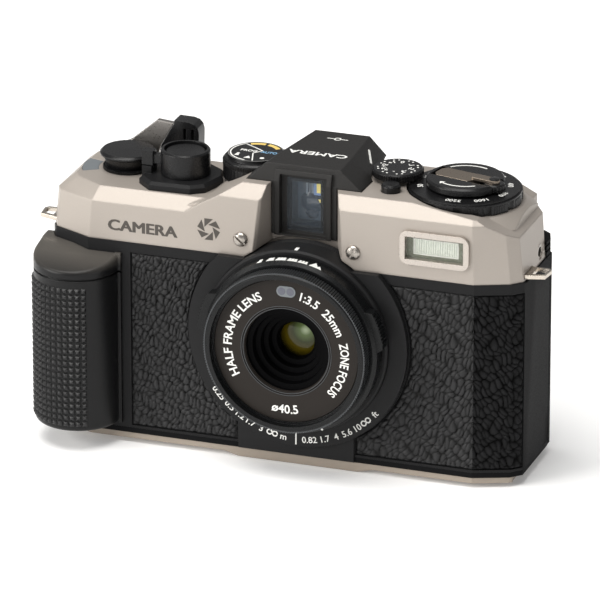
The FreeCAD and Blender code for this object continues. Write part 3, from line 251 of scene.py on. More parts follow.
# Each plain material: sRGB colour, roughness, and what sets it apart from Shade's defaults.
PAINTS = {
    "champagne": ((168, 160, 152), 0.4, dict(edge_mm=0.6, **CHAMPAGNE)),
    "base_champagne": ((160, 149, 137), 0.4, dict(edge_mm=0.35, **CHAMPAGNE)),
    "black_plastic": ((26, 26, 27), 0.45, dict(grain=0.02, grain_mm=0.3, edge_mm=0.35, mottle=0.1,
                                               mottle_mm=0.6, ior=1.3, specular=0.35)),
    "side_black": ((22, 22, 23), 0.62, dict(grain=0.06, grain_mm=0.4, edge_mm=0.3, mottle=0.15,
                                            mottle_mm=0.5, ior=1.3, specular=0.1)),
    "disc_black": ((27, 27, 28), 0.5, dict(grain=0.015, grain_mm=0.25, edge_mm=0.2, mottle=0.06,
                                           mottle_mm=0.5, ior=1.28)),
    "black_metal": ((22, 22, 23), 0.3, dict(metal=0.1, grain=0.006, grain_mm=0.2, edge_mm=0.25,
                                            mottle=0.08, mottle_mm=0.5, specular=0.35)),
    "lens_black": ((18, 19, 20), 0.3, dict(metal=0.1, grain=0.004, grain_mm=0.2, edge_mm=0.2,
                                           mottle=0.08, mottle_mm=0.5, specular=0.3)),
    "ring_face": ((40, 36, 33), 0.42, dict(metal=0.15, grain=0.006, grain_mm=0.2, edge_mm=0.12,
                                           mottle=0.05, mottle_mm=0.5, specular=0.2)),
    "knurl_black": ((78, 80, 82), 0.35, dict(metal=0.7, edge_mm=0, mottle=0.05, mottle_mm=0.5)),
    "cell_black": ((5, 5, 6), 0.5, dict(edge_mm=0.15, mottle=0.08, mottle_mm=0.5, ior=1.12)),
    "inner_black": ((18, 18, 19), 0.6, dict(grain=0.01, edge_mm=0)),
    "gloss_black": ((22, 22, 23), 0.22, dict(grain=0.004, grain_mm=0.4, edge_mm=0.4, mottle=0.06,
                                             mottle_mm=1.0, specular=0.4)),
    "housing_black": ((34, 33, 32), 0.48, dict(grain=0.05, grain_mm=0.35, edge_mm=0.5, mottle=0.15,
                                               mottle_mm=0.5, ior=1.35)),
    "rubber": ((26, 26, 27), 0.34, dict(grain=0.012, grain_mm=0.18, edge_mm=0.5, mottle=0.1,
                                        mottle_mm=0.8, specular=0.5)),
    "gunmetal": ((152, 148, 144), 0.32, dict(metal=0.85, grain=0.004, grain_mm=0.2, edge_mm=0.35,
                                             mottle=0.05, mottle_mm=0.6)),
    "bronze": ((134, 123, 111), 0.32, dict(metal=0.8, grain=0.005, grain_mm=0.2, edge_mm=0.25,
                                           mottle=0.05, mottle_mm=0.6)),
    "bezel_metal": ((190, 182, 174), 0.3, dict(metal=0.75, grain=0.004, grain_mm=0.2, edge_mm=0.35,
                                               mottle=0.03, mottle_mm=0.5)),
    "steel": ((168, 162, 155), 0.3, dict(metal=1.0, grain=0.003, grain_mm=0.15, edge_mm=0.2,
                                         mottle=0.04, mottle_mm=0.5)),
    "lug_metal": ((205, 196, 184), 0.28, dict(metal=1.0, grain=0.003, grain_mm=0.2, edge_mm=0.25,
                                              mottle=0.04, mottle_mm=0.5)),
    "spring_steel": ((120, 122, 128), 0.3, dict(metal=1.0, edge_mm=0)),
    "brass": ((190, 152, 92), 0.32, dict(metal=1.0, grain=0.004, edge_mm=0.2)),
    "mirror": ((232, 234, 228), 0.16, dict(metal=1.0, edge_mm=0.1, mottle=0.03)),
    "board": ((30, 84, 52), 0.4, dict(mottle=0.2, edge_mm=0.1)),
    "mark_white": ((236, 236, 232), 0.5, dict(mottle=0.03, edge_mm=0)),
    "mark_grey": ((120, 120, 118), 0.4, dict(mottle=0.05, edge_mm=0)),
    "mark_dark": ((72, 67, 62), 0.5, dict(mottle=0.06, edge_mm=0)),
    "mark_yellow": ((226, 196, 110), 0.5, dict(mottle=0.04, edge_mm=0)),
    "mark_blue": ((130, 176, 210), 0.5, dict(mottle=0.04, edge_mm=0)),
    "finder_mask": ((26, 28, 31), 0.4, dict(edge_mm=0.1, mottle=0.05)),
    "finder_glass": ((88, 100, 112), 0.18, dict(mottle=0.35, mottle_mm=5.0, edge_mm=0, coat=0.6)),
    "finder_edge": ((150, 164, 176), 0.2, dict(mottle=0.2, mottle_mm=2.0, edge_mm=0)),
    "finder_lit": ((232, 214, 120), 0.3, dict(mottle=0.12, mottle_mm=1.5, edge_mm=0)),
    "finder_glow": ((120, 146, 190), 0.3, dict(mottle=0.3, mottle_mm=2.0, edge_mm=0)),
    "finder_lens": ((58, 68, 80), 0.08, dict(mottle=0.4, mottle_mm=2.5, edge_mm=0, coat=1.0)),
    "meter_lens": ((84, 86, 98), 0.15, dict(mottle=0.15, mottle_mm=1.0, edge_mm=0, coat=0.6)),
    "smoke": ((104, 110, 114), 0.16, dict(edge_mm=0.1, mottle=0.08, coat=0.6)),
    "flash_glow": ((196, 202, 192), 0.3, dict(metal=0.3, mottle=0.06, mottle_mm=3.0, edge_mm=0)),
    "flash_pane": ((222, 226, 218), 0.3, dict(metal=0.2, mottle=0.08, mottle_mm=2.0,
                                              edge_mm=0.05)),
    "olive": ((58, 61, 36), 0.4, dict(mottle=0.1, edge_mm=0.1)),
}

# Emission of the two that shine: painted light, since neither is a lamp.
GLOWS = {"finder_lit": 0.5, "finder_glow": 0.25}


def make_materials():
    shades = {name: Shade(name, rgb, rough, **rest)
              for name, (rgb, rough, rest) in PAINTS.items()}
    for name, strength in GLOWS.items():
        shades[name].glowing(strength)
    made = {name: shade.mat for name, shade in shades.items()}
    made["grip_black"] = make_grip_black()
    made["leather"] = make_grained("leather", (10, 10, 10), (46, 46, 47), 0.5)
    # The same leather, darker and duller, for the slanted corner: painted shade.
    made["leather_painted_shade"] = make_grained("leather_painted_shade", (4, 4, 4), (34, 34, 35), 0.12)
    made["clear"] = glass("clear", (235, 240, 238))
    made["window"] = pane("window", (110, 122, 134), 0.12)
    made["coating_painted_reflection"] = make_coating_painted_reflection()
    made["diffuser"] = pane("diffuser", (216, 222, 208), 0.1)
    return made


def pane(name, rgb, cover):
    """Thin clear sheet: mostly see-through, with a tint and a sheen on top."""
    made = Shade(name, rgb, 0.06, mottle=0.1, mottle_mm=5.0, rough_vary=0.02, edge_mm=0, coat=0.5)
    made.out.inputs["Alpha"].default_value = cover
    return made.mat


def make_grained(name, low_rgb, high_rgb, specular):
    """Leather with painted shade: its creases are darker than the tops of its pebbles."""
    made = Shade(name, high_rgb, 0.5, mottle=0.16, mottle_mm=1.6, rough_vary=0.08, edge_mm=0,
                 ior=1.3, specular=specular)
    height = made.node("ShaderNodeAttribute", attribute_name="grain_height")
    # Painted shade: the grain's low points, its creases, blend to the darker colour.
    blend = made.node("ShaderNodeMix", data_type="RGBA")
    blend.inputs["A"].default_value = linear(low_rgb) + [1.0]
    made.link(made.remap(height.outputs["Fac"], 0.0, 1.0, 0.15, 0.9), blend.inputs["Factor"])
    made.link(made.colour, blend.inputs["B"])
    made.link(blend.outputs["Result"], made.out.inputs["Base Color"])
    made.bump(made.noise(0.28, 3.0), 0.05 * MM)
    return made.mat


def make_grip_black():
    """Grip plastic with a painted highlight: lighter and browner on its sloping top."""
    made = Shade("grip_black", (16, 16, 17), 0.36, grain=0.02, grain_mm=0.25, edge_mm=0.5,
                 mottle=0.1, mottle_mm=0.8, specular=0.28)
    low, high = 48.6 * MM, 51.2 * MM
    place = made.node("ShaderNodeSeparateXYZ")
    made.link(made.where, place.inputs["Vector"])
    # Painted highlight: above 48.6 mm the colour blends to a lighter brown.
    blend = made.node("ShaderNodeMix", data_type="RGBA")
    blend.inputs["B"].default_value = linear((74, 71, 67)) + [1.0]
    made.link(made.colour, blend.inputs["A"])
    made.link(made.remap(place.outputs["Z"], 0.0, 1.0, low, high), blend.inputs["Factor"])
    made.link(blend.outputs["Result"], made.out.inputs["Base Color"])
    return made.mat


def make_coating_painted_reflection():
    """Lens element: olive and amber coating with a painted reflection, pale green to the upper
    right.
    """
    made = Shade("coating_painted_reflection", (70, 62, 10), 0.08, mottle=0.2, mottle_mm=3.0, rough_vary=0.02,
                 edge_mm=0, coat=0.3, specular=0.2)
    # Painted reflection: pale green at a point to the upper right, through olive and amber, dark
    # at the rim.
    reach = made.node("ShaderNodeVectorMath", operation="DISTANCE")
    made.link(made.where, reach.inputs[0])
    reach.inputs[1].default_value = (1.9 * MM, -15.6 * MM, (LENS_Z + 2.4) * MM)
    glow = made.node("ShaderNodeValToRGB")
    stops = [(0.0, (168, 180, 150)), (0.18, (82, 98, 56)), (0.4, (42, 48, 10)),
             (0.66, (66, 56, 6)), (0.95, (20, 18, 4))]
    ramp = glow.color_ramp
    ramp.elements[0].position, ramp.elements[0].color = stops[0][0], linear(stops[0][1]) + [1.0]
    ramp.elements[1].position, ramp.elements[1].color = stops[-1][0], linear(stops[-1][1]) + [1.0]
    for position, rgb in stops[1:-1]:
        ramp.elements.new(position).color = linear(rgb) + [1.0]
    made.link(made.remap(reach.outputs["Value"], 0.0, 1.0, 0.0, 8.5 * MM), glow.inputs["Fac"])
    made.link(glow.outputs["Color"], made.out.inputs["Base Color"])
    # Painted light: the same colours glow by emission, though the lens is no lamp.
    made.link(glow.outputs["Color"], made.out.inputs["Emission Color"])
    made.out.inputs["Emission Strength"].default_value = 0.25
    return made.mat


MATERIAL_OF = {
    "champagne": ["top_cover"],
    "bezel_metal": ["flash_bezel"],
    "base_champagne": ["bottom_cover"],
    "housing_black": ["finder_housing"],
    "black_plastic": ["eyepiece_frame", "front_body", "button_base", "memo_holder"],
    "side_black": ["body_floor", "back_cover"],
    "inner_black": ["chassis", "shutter_plate", "pressure_plate", "battery_tray", "sprocket",
                    "take_up_spool", "rewind_fork"],
    "disc_black": ["lens_base_disc", "lens_collar"],
    "lens_black": ["focus_ring", "lens_barrel"],
    "cell_black": ["lens_cell"],
    "ring_face": ["name_ring"],
    "black_metal": ["shutter_button", "main_switch", "lever_cap", "mode_dial", "exposure_dial",
                    "iso_dial", "iso_lock_button", "rewind_knob", "counter_disc"],
    "gloss_black": ["lever_tip", "crank_handle"],
    "gunmetal": ["advance_lever"],
    "bronze": ["rewind_crank"],
    "steel": ["case_screws", "rewind_sleeve", "hinge_pin", "door_latch", "grip_screw",
              "cable_socket", "rewind_release"],
    "lug_metal": ["strap_lugs"],
    "spring_steel": ["shutter_blade_a", "shutter_blade_b"],
    "grip_black": ["grip_cover"],
    "brass": ["tripod_bush"],
    "mirror": ["flash_reflector"],
    "board": ["main_board"],
    "window": ["finder_window"],
    "clear": ["eyepiece_lens", "flash_tube", "rear_element"],
    "smoke": ["meter_window", "counter_window"],
    "coating_painted_reflection": ["front_element"],
    "diffuser": ["flash_window"],
}


MERGE_MM = 0.002
CORNER_ANGLE = math.radians(17.0)


def smoothing():
    """Node group that joins the imported facets and keeps only the real corners sharp."""
    group = bpy.data.node_groups.new("join_and_sharpen", "GeometryNodeTree")
    group.interface.new_socket("Mesh", in_out="INPUT", socket_type="NodeSocketGeometry")
    group.interface.new_socket("Mesh", in_out="OUTPUT", socket_type="NodeSocketGeometry")
    take = group.nodes.new("NodeGroupInput")
    give = group.nodes.new("NodeGroupOutput")
    merge = group.nodes.new("GeometryNodeMergeByDistance")
    merge.inputs["Distance"].default_value = MERGE_MM * MM
    faces = group.nodes.new("GeometryNodeSetShadeSmooth")
    edges = group.nodes.new("GeometryNodeSetShadeSmooth")
    edges.domain = "EDGE"
    angle = group.nodes.new("GeometryNodeInputMeshEdgeAngle")
    wide = group.nodes.new("FunctionNodeCompare")
    wide.operation = "GREATER_THAN"
    wide.inputs["B"].default_value = CORNER_ANGLE
    edges.inputs["Shade Smooth"].default_value = False
    group.links.new(take.outputs[0], merge.inputs["Geometry"])
    group.links.new(merge.outputs["Geometry"], faces.inputs["Geometry"])
    group.links.new(faces.outputs["Geometry"], edges.inputs["Geometry"])
    group.links.new(angle.outputs["Unsigned Angle"], wide.inputs["A"])
    group.links.new(wide.outputs["Result"], edges.inputs["Selection"])
    group.links.new(edges.outputs["Geometry"], give.inputs[0])
    return group


SMOOTH = smoothing()


def dress(node, material):
    """A CAD node keeps its shape and takes a better material and smooth shading."""
    obj = nodes[node]
    obj.data.materials.clear()
    obj.data.materials.append(material)
    obj.modifiers.new("join_and_sharpen", "NODES").node_group = SMOOTH


# --------------------------------------------------------------------------
# Fine detail: mesh helpers, all sizes in millimetres
# --------------------------------------------------------------------------
SOFT_ANGLE = math.radians(35.0)


def piece(name, points, faces, material, body, slot_name, sharp=SOFT_ANGLE):
    """A mesh piece that rides a body, from points in millimetres."""
    mesh = bpy.data.meshes.new(name)
    mesh.from_pydata([tuple(c * MM for c in p) for p in points], [], faces)
    mesh.update()
    mesh.shade_smooth()
    mesh.set_sharp_from_angle(angle=sharp)
    mesh.materials.append(material)
    obj = bpy.data.objects.new(name, mesh)
    SCENE.collection.objects.link(obj)
    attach(obj, body)
    return obj


def joined(shapes):
    """Several (points, faces) lists as one."""
    points, faces = [], []
    for more_points, more_faces in shapes:
        start = len(points)
        points += list(more_points)
        faces += [tuple(i + start for i in face) for face in more_faces]
    return points, faces


def slab(outline, lift, thick):
    """Flat outline raised into a thin solid. lift(a, b, h) gives the point at height h."""
    count = len(outline)
    points = [lift(a, b, 0.0) for a, b in outline] + [lift(a, b, thick) for a, b in outline]
    faces = [tuple(range(count, 2 * count)), tuple(reversed(range(count)))]
    faces += [(i, (i + 1) % count, count + (i + 1) % count, count + i) for i in range(count)]
    return points, faces


def stroke(start, stop, width, normal):
    """Straight thin bar from one point to another, on a face with the given normal."""
    start, stop, normal = Vector(start), Vector(stop), Vector(normal).normalized()
    side = normal.cross(stop - start).normalized() * width / 2
    low, high = normal * -0.1, normal * 0.06
    ring = [start - side, stop - side, stop + side, start + side]
    points = [tuple(p + low) for p in ring] + [tuple(p + high) for p in ring]
    faces = [(0, 1, 2, 3), (7, 6, 5, 4)]
    faces += [(i, 4 + i, 4 + (i + 1) % 4, (i + 1) % 4) for i in range(4)]
    return points, faces


def surround(outer, inner, near, far):
    """Frame between two outlines of four points, from one plane across Y to another."""
    points, faces = [], []
    for y in (near, far):
        points += [(a, y, b) for a, b in outer + inner]
    for k in range(4):
        n = (k + 1) % 4
        faces += [(k, n, 4 + n, 4 + k), (8 + k, 12 + k, 12 + n, 8 + n), (k, 8 + k, 8 + n, n),
                  (4 + k, 4 + n, 12 + n, 12 + k)]
    return points, faces


def rectangle(left, right, low, high):
    return [(left, low), (right, low), (right, high), (left, high)]


def centred(middle, half_width, half_height):
    """Outline of a rectangle about a middle."""
    return rectangle(middle[0] - half_width, middle[0] + half_width,
                     middle[1] - half_height, middle[1] + half_height)


def line(start, stop, half_width):
    """Outline of a straight line of even width."""
    (x0, y0), (x1, y1) = start, stop
    length = math.hypot(x1 - x0, y1 - y0)
    px, py = -half_width * (y1 - y0) / length, half_width * (x1 - x0) / length
    return [(x0 - px, y0 - py), (x1 - px, y1 - py), (x1 + px, y1 + py), (x0 + px, y0 + py)]


def polar(radius, degrees):
    turn = math.radians(degrees)
    return (radius * math.cos(turn), radius * math.sin(turn))


def band(inner, outer, start, stop, steps):
    """Outline of an arc band, angles in degrees, counter-clockwise."""
    turn = [start + (stop - start) * i / steps for i in range(steps + 1)]
    return [polar(outer, t) for t in turn] + [polar(inner, t) for t in reversed(turn)]


def on_deck(x, y, z, spin=0.0):
    """Lift for marks on a face that looks up, turned by spin degrees."""
    c, s = math.cos(math.radians(spin)), math.sin(math.radians(spin))
    return lambda a, b, h: (x + c * a - s * b, y + s * a + c * b, z + h)


def on_front(x, y, z):
    """Lift for marks on a face that looks forwards."""
    return lambda a, b, h: (x + a, y - h, z + b)


def in_depth(y):
    """Lift for flat shapes across Y whose outlines are already in X and Z."""
    return on_front(0.0, y, 0.0)


def on_ring(radius, y, middle, inwards):
    """Lift for text on a flat ring about the lens axis; middle is clockwise from the top."""
    def lift(a, b, h):
        reach = radius - b if inwards else radius + b
        turn = math.radians(middle) + (-a if inwards else a) / radius
        return (reach * math.sin(turn), y - h, LENS_Z + reach * math.cos(turn))
    return lift


def on_tube(radius, y, middle):
    """Lift for marks on a cylinder about the lens axis, their tops towards the camera's back."""
    def lift(a, b, h):
        turn = math.radians(middle) + a / radius
        return ((radius + h) * math.sin(turn), y + b, LENS_Z + (radius + h) * math.cos(turn))
    return lift


def on_dial(centre, z, radius, middle):
    """Lift for text round a dial's top, its feet towards the centre."""
    x, y = centre

    def lift(a, b, h):
        turn = math.radians(middle) - a / radius
        return (x + (radius + b) * math.cos(turn), y + (radius + b) * math.sin(turn), z + h)
    return lift


def letters(text, height, lift, thick=PRINT, width=None, weight=0.0):
    """Text as a thin solid; height is that of a capital, width stretches the whole line."""
    capital = 0.73
    curve = bpy.data.curves.new("text", "FONT")
    curve.body = text
    curve.size = 1.0
    curve.offset = weight
    curve.extrude = 0.5
    curve.resolution_u = 3
    holder = bpy.data.objects.new("text", curve)
    mesh = bpy.data.meshes.new_from_object(holder)
    flat = [tuple(v.co) for v in mesh.vertices]
    faces = [tuple(p.vertices) for p in mesh.polygons]
    bpy.data.objects.remove(holder)
    left, right = min(p[0] for p in flat), max(p[0] for p in flat)
    scale = height / capital
    wide = width / (right - left) if width else scale
    middle = (left + right) / 2
    points = [lift((a - middle) * wide, (b - capital / 2) * scale, (h + 0.5) * thick)
              for a, b, h in flat]
    return points, faces


def ring_of_teeth(lift, inner, root, tip, low, high, count, start=0.0, stop=360.0):
    """Knurled band: lift(radius, angle, height) gives the point; angles in degrees."""
    profile = ((0.0, root), (0.22, tip), (0.6, tip), (0.82, root))
    whole = stop - start >= 360.0
    step = (stop - start) / count
    stations = []
    for i in range(count):
        for part, radius in profile:
            stations.append((start + (i + part) * step, radius))
    if not whole:
        stations.append((stop, root))
    points, faces = [], []
    for angle, radius in stations:
        points += [lift(inner, angle, low), lift(radius, angle, low),
                   lift(radius, angle, high), lift(inner, angle, high)]
    total = len(stations)
    for i in range(total if whole else total - 1):
        a, b = 4 * i, 4 * ((i + 1) % total)
        faces += [(a + k, a + (k + 1) % 4, b + (k + 1) % 4, b + k) for k in range(4)]
    if not whole:
        faces += [(0, 3, 2, 1), tuple(4 * (total - 1) + k for k in range(4))]
    return points, faces


def upright(centre):
    """Places a tooth round a standing axis."""
    x, y = centre
    return lambda r, angle, h: (x + r * math.cos(math.radians(angle)),
                                y + r * math.sin(math.radians(angle)), h)


def round_lens(r, angle, y):
    """Places a tooth round the lens axis, angle clockwise from the top."""
    return (r * math.sin(math.radians(angle)), y, LENS_Z + r * math.cos(math.radians(angle)))


def disc_outline(radius, steps=20, x=0.0, y=0.0):
    turns = [2 * math.pi * i / steps for i in range(steps)]
    return [(x + radius * math.cos(t), y + radius * math.sin(t)) for t in turns]


# --------------------------------------------------------------------------
# Leather
# --------------------------------------------------------------------------
def scatter(i, j, salt):
    """Repeatable random number for each lattice cell."""
    value = np.sin(i * 127.1 + j * 311.7 + salt * 74.7) * 43758.5453
    return value - np.floor(value)


def pebbles(u, v, across, along, tilt):
    """Height from 0 to 1 of a pebbled grain whose cells run along the tilt."""
    c, s = math.cos(math.radians(tilt)), math.sin(math.radians(tilt))
    wobble = 0.25 * np.sin(u * 0.9 + 1.3 * np.sin(v * 0.55)) + 0.2 * np.sin(v * 1.1 + u * 0.4)
    a = (u * c + v * s) / along + wobble * 0.4
    b = (-u * s + v * c) / across + wobble
    i, j = np.floor(a), np.floor(b)
    first = np.full(a.shape, 9.0)
    second = np.full(a.shape, 9.0)
    height = np.zeros(a.shape)
    for di in (-1, 0, 1):
        for dj in (-1, 0, 1):
            ci, cj = i + di, j + dj
            reach = np.hypot(ci + 0.15 + 0.7 * scatter(ci, cj, 1) - a,
                             cj + 0.15 + 0.7 * scatter(ci, cj, 2) - b)
            nearer = reach < first
            second = np.where(nearer, first, np.minimum(second, reach))
            height = np.where(nearer, scatter(ci, cj, 3), height)
            first = np.where(nearer, reach, first)
    crease = np.clip((second - first) / 0.42, 0.0, 1.0)
    dome = 0.4 * crease * (2.0 - crease) + 0.6 * (1.0 - np.clip(first / 0.75, 0.0, 1.0) ** 2)
    fine = 0.04 * np.sin(u * 9.1 + 2.0 * np.sin(v * 7.3)) * np.sin(v * 8.3 + 1.7 * np.sin(u * 6.1))
    return np.clip(dome * (0.72 + 0.28 * height) + fine, 0.0, 1.0)


def sheet_of_leather(rows, columns, place, height_at, back):
    """Grid of points raised by the grain, closed with a flat back so that it is a solid."""
    points = []
    for depth in (True, False):
        for row in range(rows):
            for column in range(columns):
                (x, y, z), (nx, ny), edge = place(row, column)
                lift = height_at[row, column] * edge if depth else -back
                points.append((x + nx * lift, y + ny * lift, z))
    size = rows * columns
    faces = []
    for row in range(rows - 1):
        for column in range(columns - 1):
            a = row * columns + column
            faces.append((a, a + 1, a + columns + 1, a + columns))
            faces.append((size + a, size + a + columns, size + a + columns + 1, size + a + 1))
    rim = [c for c in range(columns)]
    rim += [r * columns + columns - 1 for r in range(1, rows)]
    rim += [(rows - 1) * columns + c for c in range(columns - 2, -1, -1)]
    rim += [r * columns for r in range(rows - 2, 0, -1)]
    for i, a in enumerate(rim):
        b = rim[(i + 1) % len(rim)]
        faces.append((a, size + a, size + b, b))
    return points, faces


def mark_height(obj, levels):
    """Stores the grain's height on each point, for the painted shade in the material's creases."""
    layer = obj.data.attributes.new("grain_height", "FLOAT", "POINT")
    layer.data.foreach_set("value", np.concatenate(levels).astype(np.float32))


SKIN_LOW, SKIN_HIGH = 4.85, 52.15
PANEL_EDGE = 29.85                      # radius about the lens axis where the panels stop
PANEL_WIDTH_FROM = 24.0                 # the distance from the axis that sets the columns
CREASE_X = 46.5                         # where the front turns to its slanted corner
RIGHT_END = CREASE_X + 9.563 + 3.65     # along the front and round the corner
RIGHT_FOOT, LEFT_FOOT = 15.35, 16.75    # how near each panel comes below the lens
LEFT_END = 45.45
UPPER_START = 5.0                       # how near each panel comes above the lens
GRAIN_DEPTH, GRAIN_BASE = 0.74, -0.44
BACK_LEFT, BACK_WIDTH = -60.4, 112.8
BACK_LOW, BACK_HEIGHT = 5.1, 47.1
BACK_Y, BACK_DEPTH = 18.2, 0.3
MEMO_LEFT, MEMO_RIGHT, MEMO_LOW, MEMO_HIGH = -24.6, 16.6, 13.4, 46.6
LEATHER_ANGLE = math.radians(60)


def front_path(distance):
    """Point and normal on the case's plan, from the lens axis along the front to the right."""
    corners = [(0.0, FRONT_Y), (CREASE_X, FRONT_Y), (55.4, -11.5), (58.0, -8.85)]
    left = distance
    for (x0, y0), (x1, y1) in zip(corners, corners[1:]):
        length = math.hypot(x1 - x0, y1 - y0)
        if left <= length or (x1, y1) == corners[-1]:
            t = min(left / length, 1.0)
            normal = ((y1 - y0) / length, -(x1 - x0) / length)
            return (x0 + t * (x1 - x0), y0 + t * (y1 - y0)), normal
        left -= length


def rim_fade(row, column, rows, columns, step, reach):
    """From 0 on the sheet's rim to 1 at a reach inside it."""
    return min(1.0, min(row, rows - 1 - row, column, columns - 1 - column) * step / reach)


def front_panel(side, step):
    """One panel beside the lens: its mesh, and the grain's height on each point."""
    foot, limit = (RIGHT_FOOT, RIGHT_END) if side > 0 else (LEFT_FOOT, LEFT_END)
    rows = int((SKIN_HIGH - SKIN_LOW) / step) + 1
    columns = int((limit - PANEL_WIDTH_FROM) / step) + 1
    heights = [SKIN_LOW + (SKIN_HIGH - SKIN_LOW) * r / (rows - 1) for r in range(rows)]
    starts = []
    for z in heights:
        reach = math.sqrt(max(PANEL_EDGE ** 2 - (z - LENS_Z) ** 2, 0.0))
        starts.append(max(reach, foot if z < LENS_Z else UPPER_START))
    along = np.array([[s + (limit - s) * c / (columns - 1) for c in range(columns)]
                      for s in starts])
    level = np.array([[z] * columns for z in heights])
    if side > 0:
        folded = np.where(along > CREASE_X, 2 * CREASE_X - along, along)
        grain = pebbles(folded, level, 1.3, 2.35, 56.0)
    else:
        grain = pebbles(31.0 - along, level, 1.2, 1.95, 60.0)

    def place(row, column):
        reach = along[row, column]
        point, normal = front_path(reach) if side > 0 else ((-reach, FRONT_Y), (0.0, -1.0))
        sunk = (point[0] + normal[0] * GRAIN_BASE, point[1] + normal[1] * GRAIN_BASE, heights[row])
        return sunk, normal, rim_fade(row, column, rows, columns, step, 0.5)

    points, faces = sheet_of_leather(rows, columns, place, grain * GRAIN_DEPTH, 0.1)
    if side < 0:
        faces = [tuple(reversed(f)) for f in faces]
    return (points, faces), [grain.ravel(), np.zeros(grain.size)]


def make_front_leather():
    step = 0.2
    right, left = front_panel(1, step), front_panel(-1, step)
    points, faces = joined([right[0], left[0]])
    skin = piece("front_skin", points, faces, MAT["leather"], "case", "leather", LEATHER_ANGLE)
    mark_height(skin, right[1] + left[1])
    # Painted shade: the slanted corner past the crease takes the darker copy of the leather.
    skin.data.materials.append(MAT["leather_painted_shade"])
    for face in skin.data.polygons:
        if face.center.x > CREASE_X * MM:
            face.material_index = 1
    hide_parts("front_leather")


def make_back_leather():
    step = 0.36
    rows, columns = int(47.0 / step), int(112.8 / step)
    us = np.array([[BACK_LEFT + BACK_WIDTH * c / (columns - 1) for c in range(columns)]
                   for _ in range(rows)])
    vs = np.array([[BACK_LOW + BACK_HEIGHT * r / (rows - 1)] * columns for r in range(rows)])
    grain = pebbles(us, vs, 1.75, 3.1, 56.0)

    def place(row, column):
        x, z = us[row, column], vs[row, column]
        under_memo = MEMO_LEFT < x < MEMO_RIGHT and MEMO_LOW < z < MEMO_HIGH
        edge = 0.25 if under_memo else rim_fade(row, column, rows, columns, step, 0.6)
        return (x, BACK_Y, z), (0.0, 1.0), edge

    points, faces = sheet_of_leather(rows, columns, place, grain * BACK_DEPTH, 0.2)
    skin = piece("back_skin", points, [tuple(reversed(f)) for f in faces], MAT["leather"], "door",
                 "leather", LEATHER_ANGLE)
    mark_height(skin, [grain.ravel(), np.zeros(grain.size)])
    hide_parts("back_leather")


# --------------------------------------------------------------------------
# Grip
# --------------------------------------------------------------------------
GRIP_X, GRIP_Y, GRIP_R = -60.0, -15.2, 11.3
STUD_ROWS, STUD_COLUMNS = 23, 19
STUD_LOW, STUD_PITCH_UP, STUD_PITCH = 7.6, 1.66, 1.62
STUD_HALF, STUD_TIP, STUD_RISE = 0.68, 0.2, 0.56
FIRST_TURN, LAST_TURN, FLAT_REACH = 28.0, -90.0, 7.0


def make_grip_studs():
    """Small pyramids in rows round the grip, and on its flat side past the last turn."""
    shapes = []
    turn_step = math.degrees(STUD_PITCH / GRIP_R)
    for row in range(STUD_ROWS):
        z = STUD_LOW + row * STUD_PITCH_UP
        for column in range(STUD_COLUMNS):
            turn = math.radians(FIRST_TURN - column * turn_step)
            past = max(0.0, math.radians(LAST_TURN) - turn) * GRIP_R
            turn = max(turn, math.radians(LAST_TURN))
            if past > FLAT_REACH:
                continue
            nx, ny = math.sin(turn), -math.cos(turn)
            tx, ty = -ny, nx
            cx, cy = GRIP_X + GRIP_R * nx - past * tx, GRIP_Y + GRIP_R * ny - past * ty
            points = []
            for lift, size in ((-0.15, STUD_HALF), (0.05, STUD_HALF), (STUD_RISE, STUD_TIP)):
                for a, b in ((-1, -1), (1, -1), (1, 1), (-1, 1)):
                    points.append((cx + tx * a * size + nx * lift,
                                   cy + ty * a * size + ny * lift, z + b * size))
            faces = [(3, 2, 1, 0), (8, 9, 10, 11)]
            for ring in (0, 4):
                faces += [(ring + k, ring + (k + 1) % 4, ring + 4 + (k + 1) % 4, ring + 4 + k)
                          for k in range(4)]
            shapes.append((points, faces))
    piece("grip_studs", *joined(shapes), MAT["rubber"], "grip", "rubber", math.radians(20))


